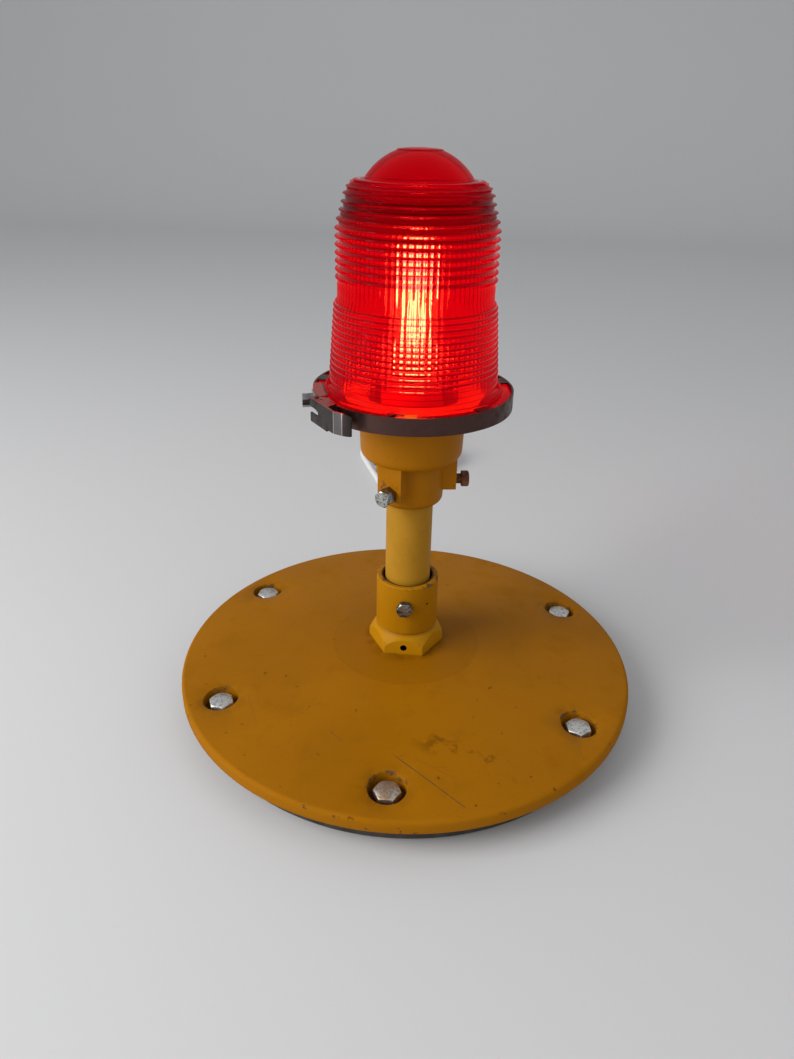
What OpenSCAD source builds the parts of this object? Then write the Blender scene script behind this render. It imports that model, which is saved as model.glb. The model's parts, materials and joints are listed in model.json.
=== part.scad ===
// Runway light desk lamp: an elevated airfield light on a round cover plate.
// Millimetres. Z points up, the desk is z = 0 and the plate's axis is the Z axis.
// The front bolt and the front flat of the coupling face -Y.

/* [Base plate] */
// Diameter of the cover plate
plate_d = 304.8; // [290:0.1:330]
// Thickness of the plate's rim
rim_t = 9.5; // [7:0.1:14]
// Rise of the plate's top towards its middle, in degrees
crown_angle = 6.1; // [3:0.1:9]
// Thickness of the plate between rim and hub
plate_wall = 7; // [5:0.1:9]
// Radius of the rim's rounded top edge
rim_round = 3; // [1:0.1:4]
// Width of the flat band under the rim
rim_land_w = 40; // [38:0.5:44]
// Diameter of the flat seat on top of the hub
hub_seat_d = 52; // [51:0.5:60]
// Diameter of the boss under the hub
hub_boss_d = 64; // [56:0.5:80]
// Thickness of the metal at the hub
hub_t = 16.5; // [12:0.1:19]

/* [Plate bolts] */
// Diameter of the circle on which the bolts stand
bolt_circle_d = 260.35; // [255:0.05:262]
// Number of bolts
bolt_count = 6; // [3:1:8]
// Diameter of the well that each bolt head sits in
well_d = 22.4; // [20:0.1:27]
// Metal left under the well
well_floor_t = 3.8; // [2:0.1:5]
// Bolt shank diameter
bolt_d = 9.525; // [6:0.005:11]
// Bolt head across the flats
bolt_af = 14.3; // [12:0.1:18]
// Bolt head height
bolt_head_h = 6.2; // [4:0.1:7]
// Tee nut flange diameter
tee_flange_d = 17; // [16:0.5:20]
// Tee nut flange thickness
tee_flange_t = 1.4; // [1:0.1:2]
// Tee nut barrel diameter
tee_barrel_d = 12; // [11.6:0.1:14]
// Tee nut length without its flange
tee_barrel_l = 7.6; // [5:0.1:9]

/* [Mounting ring] */
// Width of the ring under the plate, centred on the bolt circle
ring_w = 23; // [20:0.5:28]
// Height of the ring
ring_h = 14.5; // [14.2:0.1:20]
// Rubber pad diameter
pad_d = 18; // [12:0.5:22]
// Rubber pad height
pad_h = 3; // [2:0.1:6]

/* [Coupling] */
// Hexagon across the corners
coupling_corners = 50.5; // [46:0.1:51]
// Height of the hexagon at its corners
coupling_hex_h = 6.5; // [4:0.1:9]
// Height of the slope from hexagon to barrel
coupling_slope_h = 7; // [4:0.1:9]
// Barrel diameter
coupling_d = 40.8; // [38:0.1:44]
// Height of the coupling above the plate
coupling_h = 50.7; // [44:0.1:70]
// Diameter of the open mouth round the column
mouth_d = 33; // [32:0.1:35]
// Depth of the open mouth
mouth_depth = 8.2; // [4:0.1:12]
// Depth of the socket that grips the column, below the mouth
grip_depth = 25; // [16:0.1:27]
// Diameter of the screwed stub below the hexagon
stub_d = 33; // [30:0.1:36]
// Length of the screwed stub
stub_l = 21.5; // [19:0.1:23]
// Cable duct through the coupling
duct_d = 25; // [18:0.1:26]
// Depth of the break groove above the hexagon
groove_depth = 1.2; // [0.5:0.1:2]
// Width of the break groove
groove_w = 2.4; // [1:0.1:4]
// Weep hole in the front flat
weep_d = 4; // [2:0.1:6]
// Height of the weep hole above the plate
weep_h = 5.6; // [3.5:0.1:7]
// Height of the column's set screw above the plate
coupling_screw_h = 36.6; // [28:0.1:44]
// Lock nut across the flats
locknut_af = 44; // [40:0.5:52]
// Lock nut thickness
locknut_t = 4.5; // [3:0.1:5]

/* [Column] */
// Outer diameter of the column tube
column_d = 29.5; // [27:0.1:31]
// Wall of the column tube
column_wall = 1.6; // [1.2:0.1:3]
// Length of the column tube
column_l = 110; // [80:1:300]

/* [Set screws] */
// Set screw thread diameter
set_d = 6.35; // [5:0.05:7]
// Set screw head across the flats
set_af = 9.5; // [8:0.1:12]
// Set screw head height
set_head_h = 4.4; // [3:0.1:5]
// Length of bare thread between the neck's pad and the head
set_standoff = 4.2; // [1:0.1:6]

/* [Lamp head] */
// Neck diameter
neck_d = 41; // [38:0.1:46]
// Neck height up to the bell
neck_h = 29; // [24:0.1:36]
// Depth of the column in the neck
neck_grip = 21.5; // [16:0.1:24]
// Width of the neck's three screw pads
pad_w = 15.5; // [11:0.5:18]
// Distance of the pads' faces from the axis
pad_face_r = 27.8; // [25:0.1:31]
// Height of the neck screws above the neck's lower edge
neck_screw_h = 13.1; // [12:0.1:16]
// Bell diameter at its top
bell_d = 64; // [60:0.1:70]
// Bell height
bell_h = 33; // [28:0.1:40]
// Bell wall
bell_wall = 4.2; // [3:0.1:6]
// Bell floor thickness
bell_floor_t = 5.5; // [4:0.1:8]
// Diameter of the flange under the lens
flange_d = 114; // [112:0.5:124]
// Flange thickness
flange_t = 4.1; // [3:0.1:6]
// Gasket thickness
gasket_t = 2; // [1:0.1:4]

/* [Lens] */
// Lens flange thickness
lens_flange_t = 4; // [3:0.1:6]
// Inset of the glass wall from the flange's edge, at the foot of the lower rings
lens_inset = 7.9; // [7:0.1:10]
// Taper of the lower rings, on the radius
lower_taper = 2.7; // [1:0.1:3.5]
// Number of lower rings
lower_rings = 12; // [6:1:14]
// Spacing of the lower rings
lower_pitch = 3.25; // [2.5:0.05:4]
// Depth of the lower rings
lower_depth = 1.2; // [0.6:0.1:1.8]
// Height of the plain band between the two sets of rings
plain_band_h = 13.4; // [8:0.1:20]
// Step in from the lower rings to the plain band, on the radius
plain_step = 2.3; // [1.5:0.1:2.8]
// Step out from the plain band to the upper rings, on the radius
upper_step = 1; // [0.5:0.1:2]
// Number of straight upper rings
upper_rings = 7; // [4:1:10]
// Spacing of the straight upper rings
upper_pitch = 4.23; // [3.5:0.01:5]
// Depth of the upper rings
upper_depth = 2.4; // [1.5:0.1:2.8]
// How much smaller than the upper rings the dome's sphere is, on the radius
dome_inset = 10.1; // [6:0.1:12]
// Inset of the dome's foot from the upper rings
dome_foot_inset = 14.4; // [13:0.1:16]
// Radius of the small round land on top of the dome
dome_cap_r = 12.4; // [6:0.1:16]
// Thickness of the glass at the plain band
lens_wall = 3.5; // [3:0.1:5]

/* [Clamp band] */
// Height of the band
band_h = 10.1; // [9.5:0.1:14]
// Thickness of the band
band_t = 1.2; // [0.8:0.1:2]
// Gap between flange and band
band_gap = 0.8; // [0.3:0.1:1.5]
// Reach of the band's lips over the lens flange
lip_reach = 6; // [4:0.1:6.3]
// Reach of the broad lip beside the latch, at its middle
broad_reach = 5.7; // [3:0.1:5.7]
// Width of each lip, in degrees
lip_angle = 10; // [6:0.5:16]
// Thickness of the lips
lip_t = 0.9; // [0.6:0.1:1]
// Direction of the latch, in degrees
latch_az = -144; // [-150:1:-138]
// Height of the latch lever
lever_h = 13.9; // [13.6:0.1:16]
// Sheet thickness of the latch lever
lever_t = 1; // [0.8:0.1:1.2]

/* [Bulb and socket] */
// Bulb glass diameter
bulb_d = 29; // [27:0.5:50]
// Length of the bulb above the socket
bulb_l = 85; // [60:1:100]
// Socket body diameter
socket_d = 38; // [34:0.5:44]
// Socket body height
socket_h = 39.8; // [34:0.1:44]
// Diameter of the bulb's metal cap
cap_d = 26.16; // [25:0.01:28]

/* [Cord] */
// Diameter of the mains cord
cord_d = 6; // [5:0.1:6]
// Radius of the coil's outermost turn
coil_outer_r = 46; // [46:0.5:52]
// Turns of cord in the coil
coil_turns = 6.5; // [4.5:1:6.5]
// Length of the strain relief outside the ring
relief_l = 29; // [20:1:29]

/* [Hidden] */
$fn = 96;

// Cutting tools run this far past the faces that they open
cut = 1;
// Running clearance of a pin in its hole, on the radius
run_fit = 0.05;
// Clearance of a part that only stands in its hole, on the radius
loose_fit = 0.1;

// Heights, from the desk up
ring_z = pad_h;
plate_z = ring_z + ring_h;
rim_top_z = plate_z + rim_t;
function top_z(r) = rim_top_z + (plate_d / 2 - r) * tan(crown_angle);
seat_z = top_z(hub_seat_d / 2);
well_floor_z = plate_z + well_floor_t;
coupling_top_z = seat_z + coupling_h;
column_z = coupling_top_z - mouth_depth - grip_depth;
column_top_z = column_z + column_l;
neck_z = column_top_z - neck_grip;
neck_screw_z = neck_z + neck_screw_h;
bell_z = neck_z + neck_h;
bell_floor_z = bell_z + bell_floor_t;
flange_z = bell_z + bell_h;
gasket_z = flange_z + flange_t;
lens_z = gasket_z + gasket_t;
lip_z = lens_z + lens_flange_t + loose_fit;
band_top_z = lip_z + lip_t;
band_z = band_top_z - band_h;
coupling_screw_z = seat_z + coupling_screw_h;
weep_z = seat_z + weep_h;

bolt_r = bolt_circle_d / 2;
first_bolt = -90;
// How far each bolt head has been turned, in degrees
head_turns = [30, 8, 41, 17, 52, 24];
ring_out_r = bolt_r + ring_w / 2;
ring_in_r = bolt_r - ring_w / 2;
// Tip of each plate bolt above the foot of its tee nut
bolt_tip_z = ring_z + 2;
hub_hole_d = stub_d + 2 * loose_fit;

// Neck screws: one new zinc screw, two rusty ones
zinc_az = -113.2;
rusty_az = [8.4, 128.4];
screw_turn = 30;
zinc_turn = 18;
rusty_turn = 12;
head_r = pad_face_r + set_standoff;

// Lens flange and the lug that keeps the lens from turning
lens_flange_r = flange_d / 2 + 0.4;
bead_r = flange_d / 2 - 5.8;
lens_foot_r = flange_d / 2 - lens_inset;
lens_waist_r = lens_foot_r - lower_taper;
plain_band_r = lens_waist_r - plain_step;
upper_r = plain_band_r + upper_step;
dome_r = upper_r - dome_inset;
dome_foot_r = upper_r - dome_foot_inset;
lens_bore_r = plain_band_r - lens_wall;
lug_az = -87.5;
lug_angle = 7;
lug_r = flange_d / 2 - 5.4;
gasket_r = [flange_d / 2 - 12, lug_r - 0.3];
band_r = flange_d / 2 + band_gap;
band_out_r = band_r + band_t;
lip_az = [-96, -42, 19, 76, 122, 171];

// Height and inset of each shoulder ring over the one below it
shoulder = [[4.5, 0.9], [4.6, 1.5], [4.0, 1.1], [4.2, 1.0], [3.4, 1.7], [3.1, 3.7]];

// Broad lip: its two ends and the direction in which it reaches least
broad_az = [-177, -151];
broad_mid = -164;

// Latch, in its own frame: along the band, then outwards as -y
pivot = [-1.9, -(band_out_r + 3.2)];
link_pin_at = [pivot[0] + 4.7, pivot[1] + 0.5];
pin_r = 0.8;
ear_r = 1.7;
ear_t = 1;
ear_gap = 0.3;
web_n = band_out_r + 6.1;
lever_z = band_top_z + 1.5 - lever_h;
lever_top_z = lever_z + lever_h;
upper_ear_z = lever_top_z - lever_t - ear_gap - ear_t;
lower_ear_z = lever_z + lever_t + ear_gap;
latch_mid_z = (lower_ear_z + ear_t + upper_ear_z) / 2;
strap_h = 2.4;
strap_t = 0.9;
eye_r = 1.5;
bracket_t = 0.8;
bracket_r = band_out_r + bracket_t;

// Fork on the band's other end, and the hook plate behind it
fork_az = latch_az - 14.5;
fork_r = band_out_r + 7.3;
fork_t = 1;
fork_h = 8;
fork_gap = 0.7;
slot_clear = 0.5;
split_az = latch_az - 4.8;
function latch_angle(s, r) = latch_az + asin(s / r);
bracket_end = latch_angle(14, band_out_r);
catch_az = [fork_az - 8, fork_az + 6];

// Bulb and socket
bracket_plate_t = 1.2;
socket_z = bell_floor_z + bracket_plate_t;
socket_top_z = socket_z + socket_h;
shell_r = cap_d / 2 + 0.07;
shell_t = 0.4;
socket_floor_t = 7.8;
contact_z = socket_z + socket_floor_t;
contact_h = 2.5;
button_z = contact_z + contact_h + 0.2;
insulator_z = button_z + 1.8;
cap_z = insulator_z + 3.5;
cap_top_z = socket_top_z - 4;
bulb_top_z = socket_top_z + bulb_l;
glass_neck_h = 3;
glass_shoulder_h = 14;
filament_inset = 16;
filament_r = 1.1;
filament_ring_r = bulb_d / 4;
filament_count = 6;
filament_low_z = cap_top_z + filament_inset;
filament_top_z = bulb_top_z - filament_inset;
neck_glass_r = cap_d / 2 - 0.9;
glass_t = 1;
stem_rod_r = 1;
stem_h = 20;
seal_depth = 8;

// Cord: where it leaves the ring, and its way over the desk to the coil
cord_r = cord_d / 2;
exit_x = -26;
exit_z = 10;
relief_face_y = sqrt(pow(ring_out_r, 2) - pow(exit_x, 2));
relief_inner_y = sqrt(pow(ring_in_r, 2) - pow(exit_x, 2)) - 2;
relief_body_d = 10.6;
relief_flange_d = 13.4;
relief_flange_t = 2;
relief_end_y = relief_face_y + relief_l;
duct_bend_r = 24;
cord_joint_z = 48;
grommet_r = 11;
cord_route = [[exit_x, relief_end_y, exit_z], [-26, 180, 10], [-26, 192, 9.4], [-26.5, 205, 7.6],
    [-27, 218, 5.4], [-28, 231, 3.8], [-29, 245, 3.1], [-30.5, 260, 3], [-33, 275, 3],
    [-36.5, 289, 3], [-40.5, 303, 3], [-45.5, 317, 3], [-50.5, 331, 3], [-56, 346, 3],
    [-61.5, 361, 3], [-67, 375.5, 3], [-72.5, 390, 3], [-78, 405, 3], [-82, 417.5, 3],
    [-84, 429, 3.3], [-83, 440.5, 3.6], [-81.5, 451, 3.7]];
coil_start = cord_route[len(cord_route) - 1];
coil_lead = cord_d;
coil_x = coil_start[0] + coil_outer_r;
coil_y = coil_start[1] + coil_lead;
turn_step = cord_d + 0.5;
coil_low_z = coil_start[2];
coil_high_z = coil_low_z + turn_step;
coil_inner_r = coil_outer_r - turn_step * coil_turns / 2;
loop_rings = 24;
plug_y = coil_y - coil_lead;
plug_x = coil_x + coil_outer_r;
plug_boot_l = 22;
plug_l = 32;
plug_w = 25;
plug_half_h = coil_high_z;
blade = [1.5, 17, 6.4];
blade_gap = 12.7;
tie_w = 8;
tie_t = 0.6;

module at_bolts(turn = 0) {
    for (i = [0 : bolt_count - 1])
        let ($bolt = i) rotate([0, 0, first_bolt + turn + i * 360 / bolt_count])
            translate([bolt_r, 0, 0]) children();
}

module hexagon(af, h) {
    cylinder(d = af / cos(30), h = h, $fn = 6);
}

module tube(ro, ri, h) {
    difference() {
        cylinder(r = ro, h = h);
        translate([0, 0, -cut]) cylinder(r = ri, h = h + 2 * cut);
    }
}

module sector(r1, r2, h, a1, a2) {
    rotate([0, 0, a1]) rotate_extrude(angle = a2 - a1) translate([r1, 0]) square([r2 - r1, h]);
}

// A radial hole or shank at height z, from radius r1 to r2
module radial(az, z, r1, r2) {
    rotate([0, 0, az]) translate([r1, 0, z]) rotate([0, 90, 0]) cylinder(d = $radial_d, h = r2 - r1);
}

// Points of a quarter round of radius r about a centre, from angle a to b
function arc(c, r, a, b, n = 6) = [for (i = [0 : n]) c + r * [cos(a + (b - a) * i / n), sin(a + (b - a) * i / n)]];

module base_plate() {
    plate_r = plate_d / 2;
    land_r = plate_r - rim_land_w;
    boss_r = hub_boss_d / 2;
    low_round = 1.5;
    color("goldenrod") difference() {
        rotate_extrude($fn = 180) polygon(concat(
            [[hub_hole_d / 2, seat_z], [hub_hole_d / 2, seat_z - hub_t], [boss_r, seat_z - hub_t],
             [boss_r, top_z(boss_r) - plate_wall], [land_r, top_z(land_r) - plate_wall], [land_r, plate_z]],
            arc([plate_r - low_round, plate_z + low_round], low_round, -90, 0, 3),
            arc([plate_r - rim_round, rim_top_z - rim_round], rim_round, 0, 90 - crown_angle),
            [[hub_seat_d / 2, seat_z]]));
        at_bolts() {
            translate([0, 0, well_floor_z]) cylinder(d = well_d, h = seat_z);
            translate([0, 0, plate_z - cut]) cylinder(d = bolt_d + 4 * loose_fit, h = rim_t + cut);
        }
    }
}

module mounting_ring() {
    color("dimgray") difference() {
        translate([0, 0, ring_z]) tube(ring_out_r, ring_in_r, ring_h);
        at_bolts() {
            translate([0, 0, ring_z - cut]) cylinder(d = tee_flange_d, h = tee_flange_t + cut);
            translate([0, 0, ring_z]) cylinder(d = tee_barrel_d, h = tee_flange_t + tee_barrel_l);
            translate([0, 0, ring_z]) cylinder(d = bolt_d + 4 * loose_fit, h = ring_h + cut);
        }
        translate([exit_x, ring_out_r + cut, exit_z]) rotate([90, 0, 0])
            cylinder(d = relief_body_d, h = ring_out_r / 2);
        translate([exit_x, ring_out_r + cut, exit_z]) rotate([90, 0, 0])
            cylinder(d = relief_flange_d + 2 * loose_fit, h = ring_out_r + cut - relief_face_y + relief_flange_t);
    }
}

module tee_nuts() {
    color("silver") at_bolts() translate([0, 0, ring_z]) difference() {
        union() {
            cylinder(d = tee_flange_d, h = tee_flange_t);
            cylinder(d = tee_barrel_d, h = tee_flange_t + tee_barrel_l);
        }
        translate([0, 0, -cut]) cylinder(d = bolt_d + 2 * run_fit, h = tee_flange_t + tee_barrel_l + 2 * cut);
    }
}

module plate_bolts() {
    color("lightsteelblue") at_bolts() {
        translate([0, 0, bolt_tip_z]) cylinder(d = bolt_d, h = well_floor_z - bolt_tip_z);
        translate([0, 0, well_floor_z]) rotate([0, 0, head_turns[$bolt % len(head_turns)]])
            chamfered_head(bolt_af, bolt_head_h);
    }
}

// Hexagon head whose top corners are turned off
module chamfered_head(af, h) {
    corner_r = af / 2 / cos(30);
    drop = 0.8;
    intersection() {
        hexagon(af, h);
        union() {
            cylinder(r = corner_r, h = h - drop);
            translate([0, 0, h - drop]) cylinder(r1 = corner_r, r2 = af / 2 - 0.3, h = drop);
        }
    }
}

module rubber_pads() {
    color("black") at_bolts(180 / bolt_count) cylinder(d = pad_d, h = pad_h);
}

module coupling() {
    barrel_r = coupling_d / 2;
    corner_r = coupling_corners / 2;
    slope_z = seat_z + coupling_hex_h;
    barrel_z = slope_z + coupling_slope_h;
    edge = 0.8;
    color("goldenrod") difference() {
        union() {
            intersection() {
                translate([0, 0, seat_z]) cylinder(r = corner_r, h = coupling_h, $fn = 6);
                union() {
                    translate([0, 0, seat_z]) cylinder(r = corner_r, h = coupling_hex_h);
                    translate([0, 0, slope_z]) cylinder(r1 = corner_r, r2 = barrel_r, h = coupling_slope_h);
                }
            }
            rotate_extrude() polygon([[0, seat_z - stub_l], [stub_d / 2, seat_z - stub_l], [stub_d / 2, seat_z],
                [barrel_r, seat_z], [barrel_r, barrel_z], [barrel_r - groove_depth, barrel_z + groove_w / 2],
                [barrel_r, barrel_z + groove_w], [barrel_r, coupling_top_z - edge],
                [barrel_r - edge, coupling_top_z], [0, coupling_top_z]]);
        }
        translate([0, 0, seat_z - stub_l - cut]) cylinder(d = duct_d, h = stub_l + coupling_h);
        translate([0, 0, column_z]) cylinder(d = column_d + 2 * run_fit, h = coupling_h);
        translate([0, 0, coupling_top_z - mouth_depth]) cylinder(d = mouth_d, h = mouth_depth + cut);
        radial(first_bolt, weep_z, 0, corner_r, $radial_d = weep_d);
        radial(first_bolt, coupling_screw_z, 0, corner_r, $radial_d = set_d);
    }
}

module coupling_locknut() {
    color("gainsboro") translate([0, 0, seat_z - hub_t - locknut_t]) difference() {
        hexagon(locknut_af, locknut_t);
        translate([0, 0, -cut]) cylinder(d = stub_d, h = locknut_t + 2 * cut);
    }
}

// A hexagon-headed set screw that points at the axis, its head turned
module set_screw(az, z, tip_r, under_head_r, turn) {
    radial(az, z, tip_r, under_head_r, $radial_d = set_d);
    rotate([0, 0, az]) translate([under_head_r, 0, z]) rotate([0, 90, 0]) rotate([0, 0, turn])
        chamfered_head(set_af, set_head_h);
}

module coupling_set_screw() {
    color("gray") set_screw(first_bolt, coupling_screw_z, column_d / 2 + run_fit, coupling_d / 2 + 0.6, screw_turn);
}

module strain_relief() {
    color("white") difference() {
        translate([exit_x, relief_inner_y, exit_z]) rotate([-90, 0, 0]) {
            cylinder(d = relief_body_d, h = relief_face_y - relief_inner_y);
            translate([0, 0, relief_face_y - relief_flange_t - relief_inner_y])
                cylinder(d = relief_flange_d, h = relief_flange_t);
            translate([0, 0, relief_face_y - relief_inner_y])
                cylinder(d1 = relief_body_d, d2 = cord_d + 1.6, h = relief_l);
        }
        translate([exit_x, relief_inner_y - cut, exit_z]) rotate([-90, 0, 0])
            cylinder(d = cord_d, h = relief_end_y - relief_inner_y + 2 * cut);
    }
}

// The cord inside the base: in through the ring, then up into the coupling
reach = norm([exit_x, relief_inner_y]);
lower_route = concat([[exit_x, relief_end_y, exit_z], [exit_x, relief_inner_y, exit_z]],
    [for (t = [0 : 15 : 90]) let (k = duct_bend_r * (1 - sin(t)) / reach)
        [k * exit_x, k * relief_inner_y, exit_z + duct_bend_r * (1 - cos(t))]],
    [[0, 0, cord_joint_z]]);
module lower_cord() {
    color("whitesmoke") sweep(lower_route, cord_r, 10, [1, 0, 0]);
}

module column() {
    color("khaki") translate([0, 0, column_z]) tube(column_d / 2, column_d / 2 - column_wall, column_l);
}

module lamp_head() {
    neck_r = neck_d / 2;
    bell_r = bell_d / 2;
    foot_r = bell_r - 0.8;
    neck_round = 4;
    bell_round = 6;
    pad_drop = 4.2;
    pad_z = neck_screw_z - pad_drop;
    color("goldenrod") difference() {
        union() {
            rotate_extrude() polygon(concat([[0, neck_z]],
                arc([neck_r - neck_round, neck_z + neck_round], neck_round, -90, 0), [[neck_r, bell_z]],
                arc([foot_r - bell_round, bell_z + bell_round], bell_round, -90, 0),
                [[bell_r, flange_z - 3], [bell_r + 3, flange_z], [flange_d / 2, flange_z],
                 [flange_d / 2, gasket_z], [0, gasket_z]]));
            for (az = concat([zinc_az], rusty_az)) rotate([0, 0, az])
                translate([0, -pad_w / 2, pad_z]) cube([pad_face_r, pad_w, bell_z + bell_round / 2 - pad_z]);
            translate([0, 0, gasket_z]) sector(lug_r, flange_d / 2, band_top_z - loose_fit * 4 - gasket_z,
                lug_az - lug_angle / 2, lug_az + lug_angle / 2);
        }
        translate([0, 0, neck_z - cut]) cylinder(d = column_d + 4 * loose_fit, h = neck_grip + cut);
        translate([0, 0, neck_z]) cylinder(r = grommet_r, h = gasket_z - neck_z);
        translate([0, 0, bell_floor_z]) cylinder(r = bell_r - bell_wall, h = bell_h);
        for (az = concat([zinc_az], rusty_az)) radial(az, neck_screw_z, 0, pad_face_r + cut, $radial_d = set_d);
        at_socket_screws() translate([0, 0, bell_floor_z - 4]) cylinder(d = 4, h = 5);
    }
}

module zinc_neck_screw() {
    color("silver") set_screw(zinc_az, neck_screw_z, column_d / 2, head_r, zinc_turn);
}

module neck_lock_nut() {
    nut_t = set_standoff - 0.2;
    color("silver") rotate([0, 0, zinc_az]) translate([pad_face_r, 0, neck_screw_z]) rotate([0, 90, 0])
        difference() {
            hexagon(set_af, nut_t);
            translate([0, 0, -cut]) cylinder(d = set_d, h = nut_t + 2 * cut);
        }
}

module rusty_neck_screws() {
    color("saddlebrown") for (az = rusty_az) set_screw(az, neck_screw_z, column_d / 2, head_r, rusty_turn);
}

module upper_cord() {
    color("whitesmoke") translate([0, 0, cord_joint_z]) cylinder(d = cord_d, h = bell_floor_z + 1 - cord_joint_z);
}

module cord_grommet() {
    color("black") translate([0, 0, column_top_z]) tube(grommet_r, cord_r, bell_floor_z - column_top_z);
}

module at_socket_screws() {
    for (x = [-1, 1]) translate([x * socket_screw_r, 0, 0]) children();
}
socket_screw_r = 23;

module socket_bracket() {
    color("silver") translate([0, 0, bell_floor_z]) difference() {
        union() {
            cylinder(d = socket_d, h = bracket_plate_t);
            translate([-socket_screw_r, -5, 0]) cube([2 * socket_screw_r, 10, bracket_plate_t]);
            at_socket_screws() cylinder(d = 8, h = bracket_plate_t);
        }
        translate([0, 0, -cut]) cylinder(r = 8, h = bracket_plate_t + 2 * cut);
        at_socket_screws() translate([0, 0, -cut]) cylinder(d = 4.2, h = bracket_plate_t + 2 * cut);
    }
}

module socket_screws() {
    color("silver") at_socket_screws() {
        translate([0, 0, bell_floor_z - 4]) cylinder(d = 4, h = 4 + bracket_plate_t);
        translate([0, 0, socket_z]) cylinder(d = 6.5, h = 2.4);
    }
}

module socket_body() {
    color("white") difference() {
        translate([0, 0, socket_z]) cylinder(d = socket_d, h = socket_h);
        translate([0, 0, socket_z - cut]) cylinder(r = 8, h = socket_floor_t - 3 + cut);
        translate([0, 0, contact_z]) cylinder(r = shell_r + shell_t, h = socket_h);
    }
}

module socket_shell() {
    color("gold") translate([0, 0, contact_z]) tube(shell_r + shell_t, shell_r, socket_h - socket_floor_t - 1);
}

module socket_contact() {
    color("gold") translate([0, 0, contact_z]) {
        cylinder(r = 5, h = 0.8);
        cylinder(r1 = 3.2, r2 = 2, h = contact_h);
    }
}

module socket_leads() {
    color("black") for (x = [-1.6, 1.6])
        translate([x, 0, bell_floor_z + 1]) cylinder(r = 1.2, h = socket_z + socket_floor_t - 3 - bell_floor_z - 1);
}

module lens_gasket() {
    color("black") translate([0, 0, gasket_z]) tube(gasket_r[1], gasket_r[0], gasket_t);
}

module bulb_cap() {
    color("silver") translate([0, 0, cap_z]) tube(cap_d / 2, neck_glass_r + 0.1, cap_top_z - cap_z);
}

module bulb_insulator() {
    color("black") translate([0, 0, insulator_z]) cylinder(r1 = 4.8, r2 = cap_d / 2 - 0.4, h = cap_z - insulator_z);
}

module bulb_contact() {
    color("silver") translate([0, 0, button_z]) cylinder(r1 = 3.6, r2 = 4.6, h = insulator_z - button_z);
}

// Outline of the bulb's glass, drawn in by t
function bulb_outline(t) = let (r = bulb_d / 2, c = bulb_top_z - r) concat(
    [[0, cap_top_z - seal_depth + t], [neck_glass_r - t, cap_top_z - seal_depth + t],
     [neck_glass_r - t, cap_top_z + glass_neck_h], [r - t, cap_top_z + glass_shoulder_h]],
    arc([0, c], r - t, 0, 90, 10));

module bulb_envelope() {
    color("lemonchiffon") difference() {
        rotate_extrude() polygon(bulb_outline(0));
        rotate_extrude() polygon(bulb_outline(glass_t));
    }
}

module bulb_stem() {
    foot_z = cap_top_z - seal_depth + glass_t;
    color("white") translate([0, 0, foot_z]) {
        cylinder(r1 = 6, r2 = 2.5, h = stem_h);
        cylinder(r = stem_rod_r, h = filament_top_z + 3 - foot_z);
    }
}

module bulb_filaments() {
    wire_r = 0.4;
    color("gold") for (i = [0 : filament_count - 1]) rotate([0, 0, 30 + i * 360 / filament_count]) {
        translate([filament_ring_r, 0, filament_low_z])
            cylinder(r = filament_r, h = filament_top_z - filament_low_z);
        for (z = [filament_low_z + 0.5, filament_top_z - 0.5]) translate([stem_rod_r, 0, z])
            rotate([0, 90, 0]) cylinder(r = wire_r, h = filament_ring_r - stem_rod_r);
    }
}

// Heights and radii of the lens rings
lower_z = lens_z + 14.6;
plain_z = lower_z + lower_rings * lower_pitch;
upper_z = plain_z + plain_band_h;
function sum_to(i, k) = i < 0 ? 0 : shoulder[i][k] + sum_to(i - 1, k);
upper_last_z = upper_z + (upper_rings - 1) * upper_pitch;
function lower_ring_r(i) = lens_foot_r + (lens_waist_r - lens_foot_r) * i / (lower_rings - 1);
function shoulder_ring(i) = [upper_r - sum_to(i, 1), upper_last_z + sum_to(i, 0)];
top_ring = shoulder_ring(len(shoulder) - 1);
dome_foot_z = top_ring[1] - 1.6;
dome_z = dome_foot_z - sqrt(pow(dome_r, 2) - pow(dome_foot_r, 2));
cap_edge_z = dome_z + sqrt(pow(dome_r, 2) - pow(dome_cap_r, 2));

// One ring of the glass: a blunt edge at radius r and a valley above it
function glass_ring(r, z, pitch, depth) = [[r - 0.5, z - 0.6], [r, z - 0.15], [r, z + 0.15], [r - 0.5, z + 0.6],
    [r - depth, z + pitch / 2]];

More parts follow.
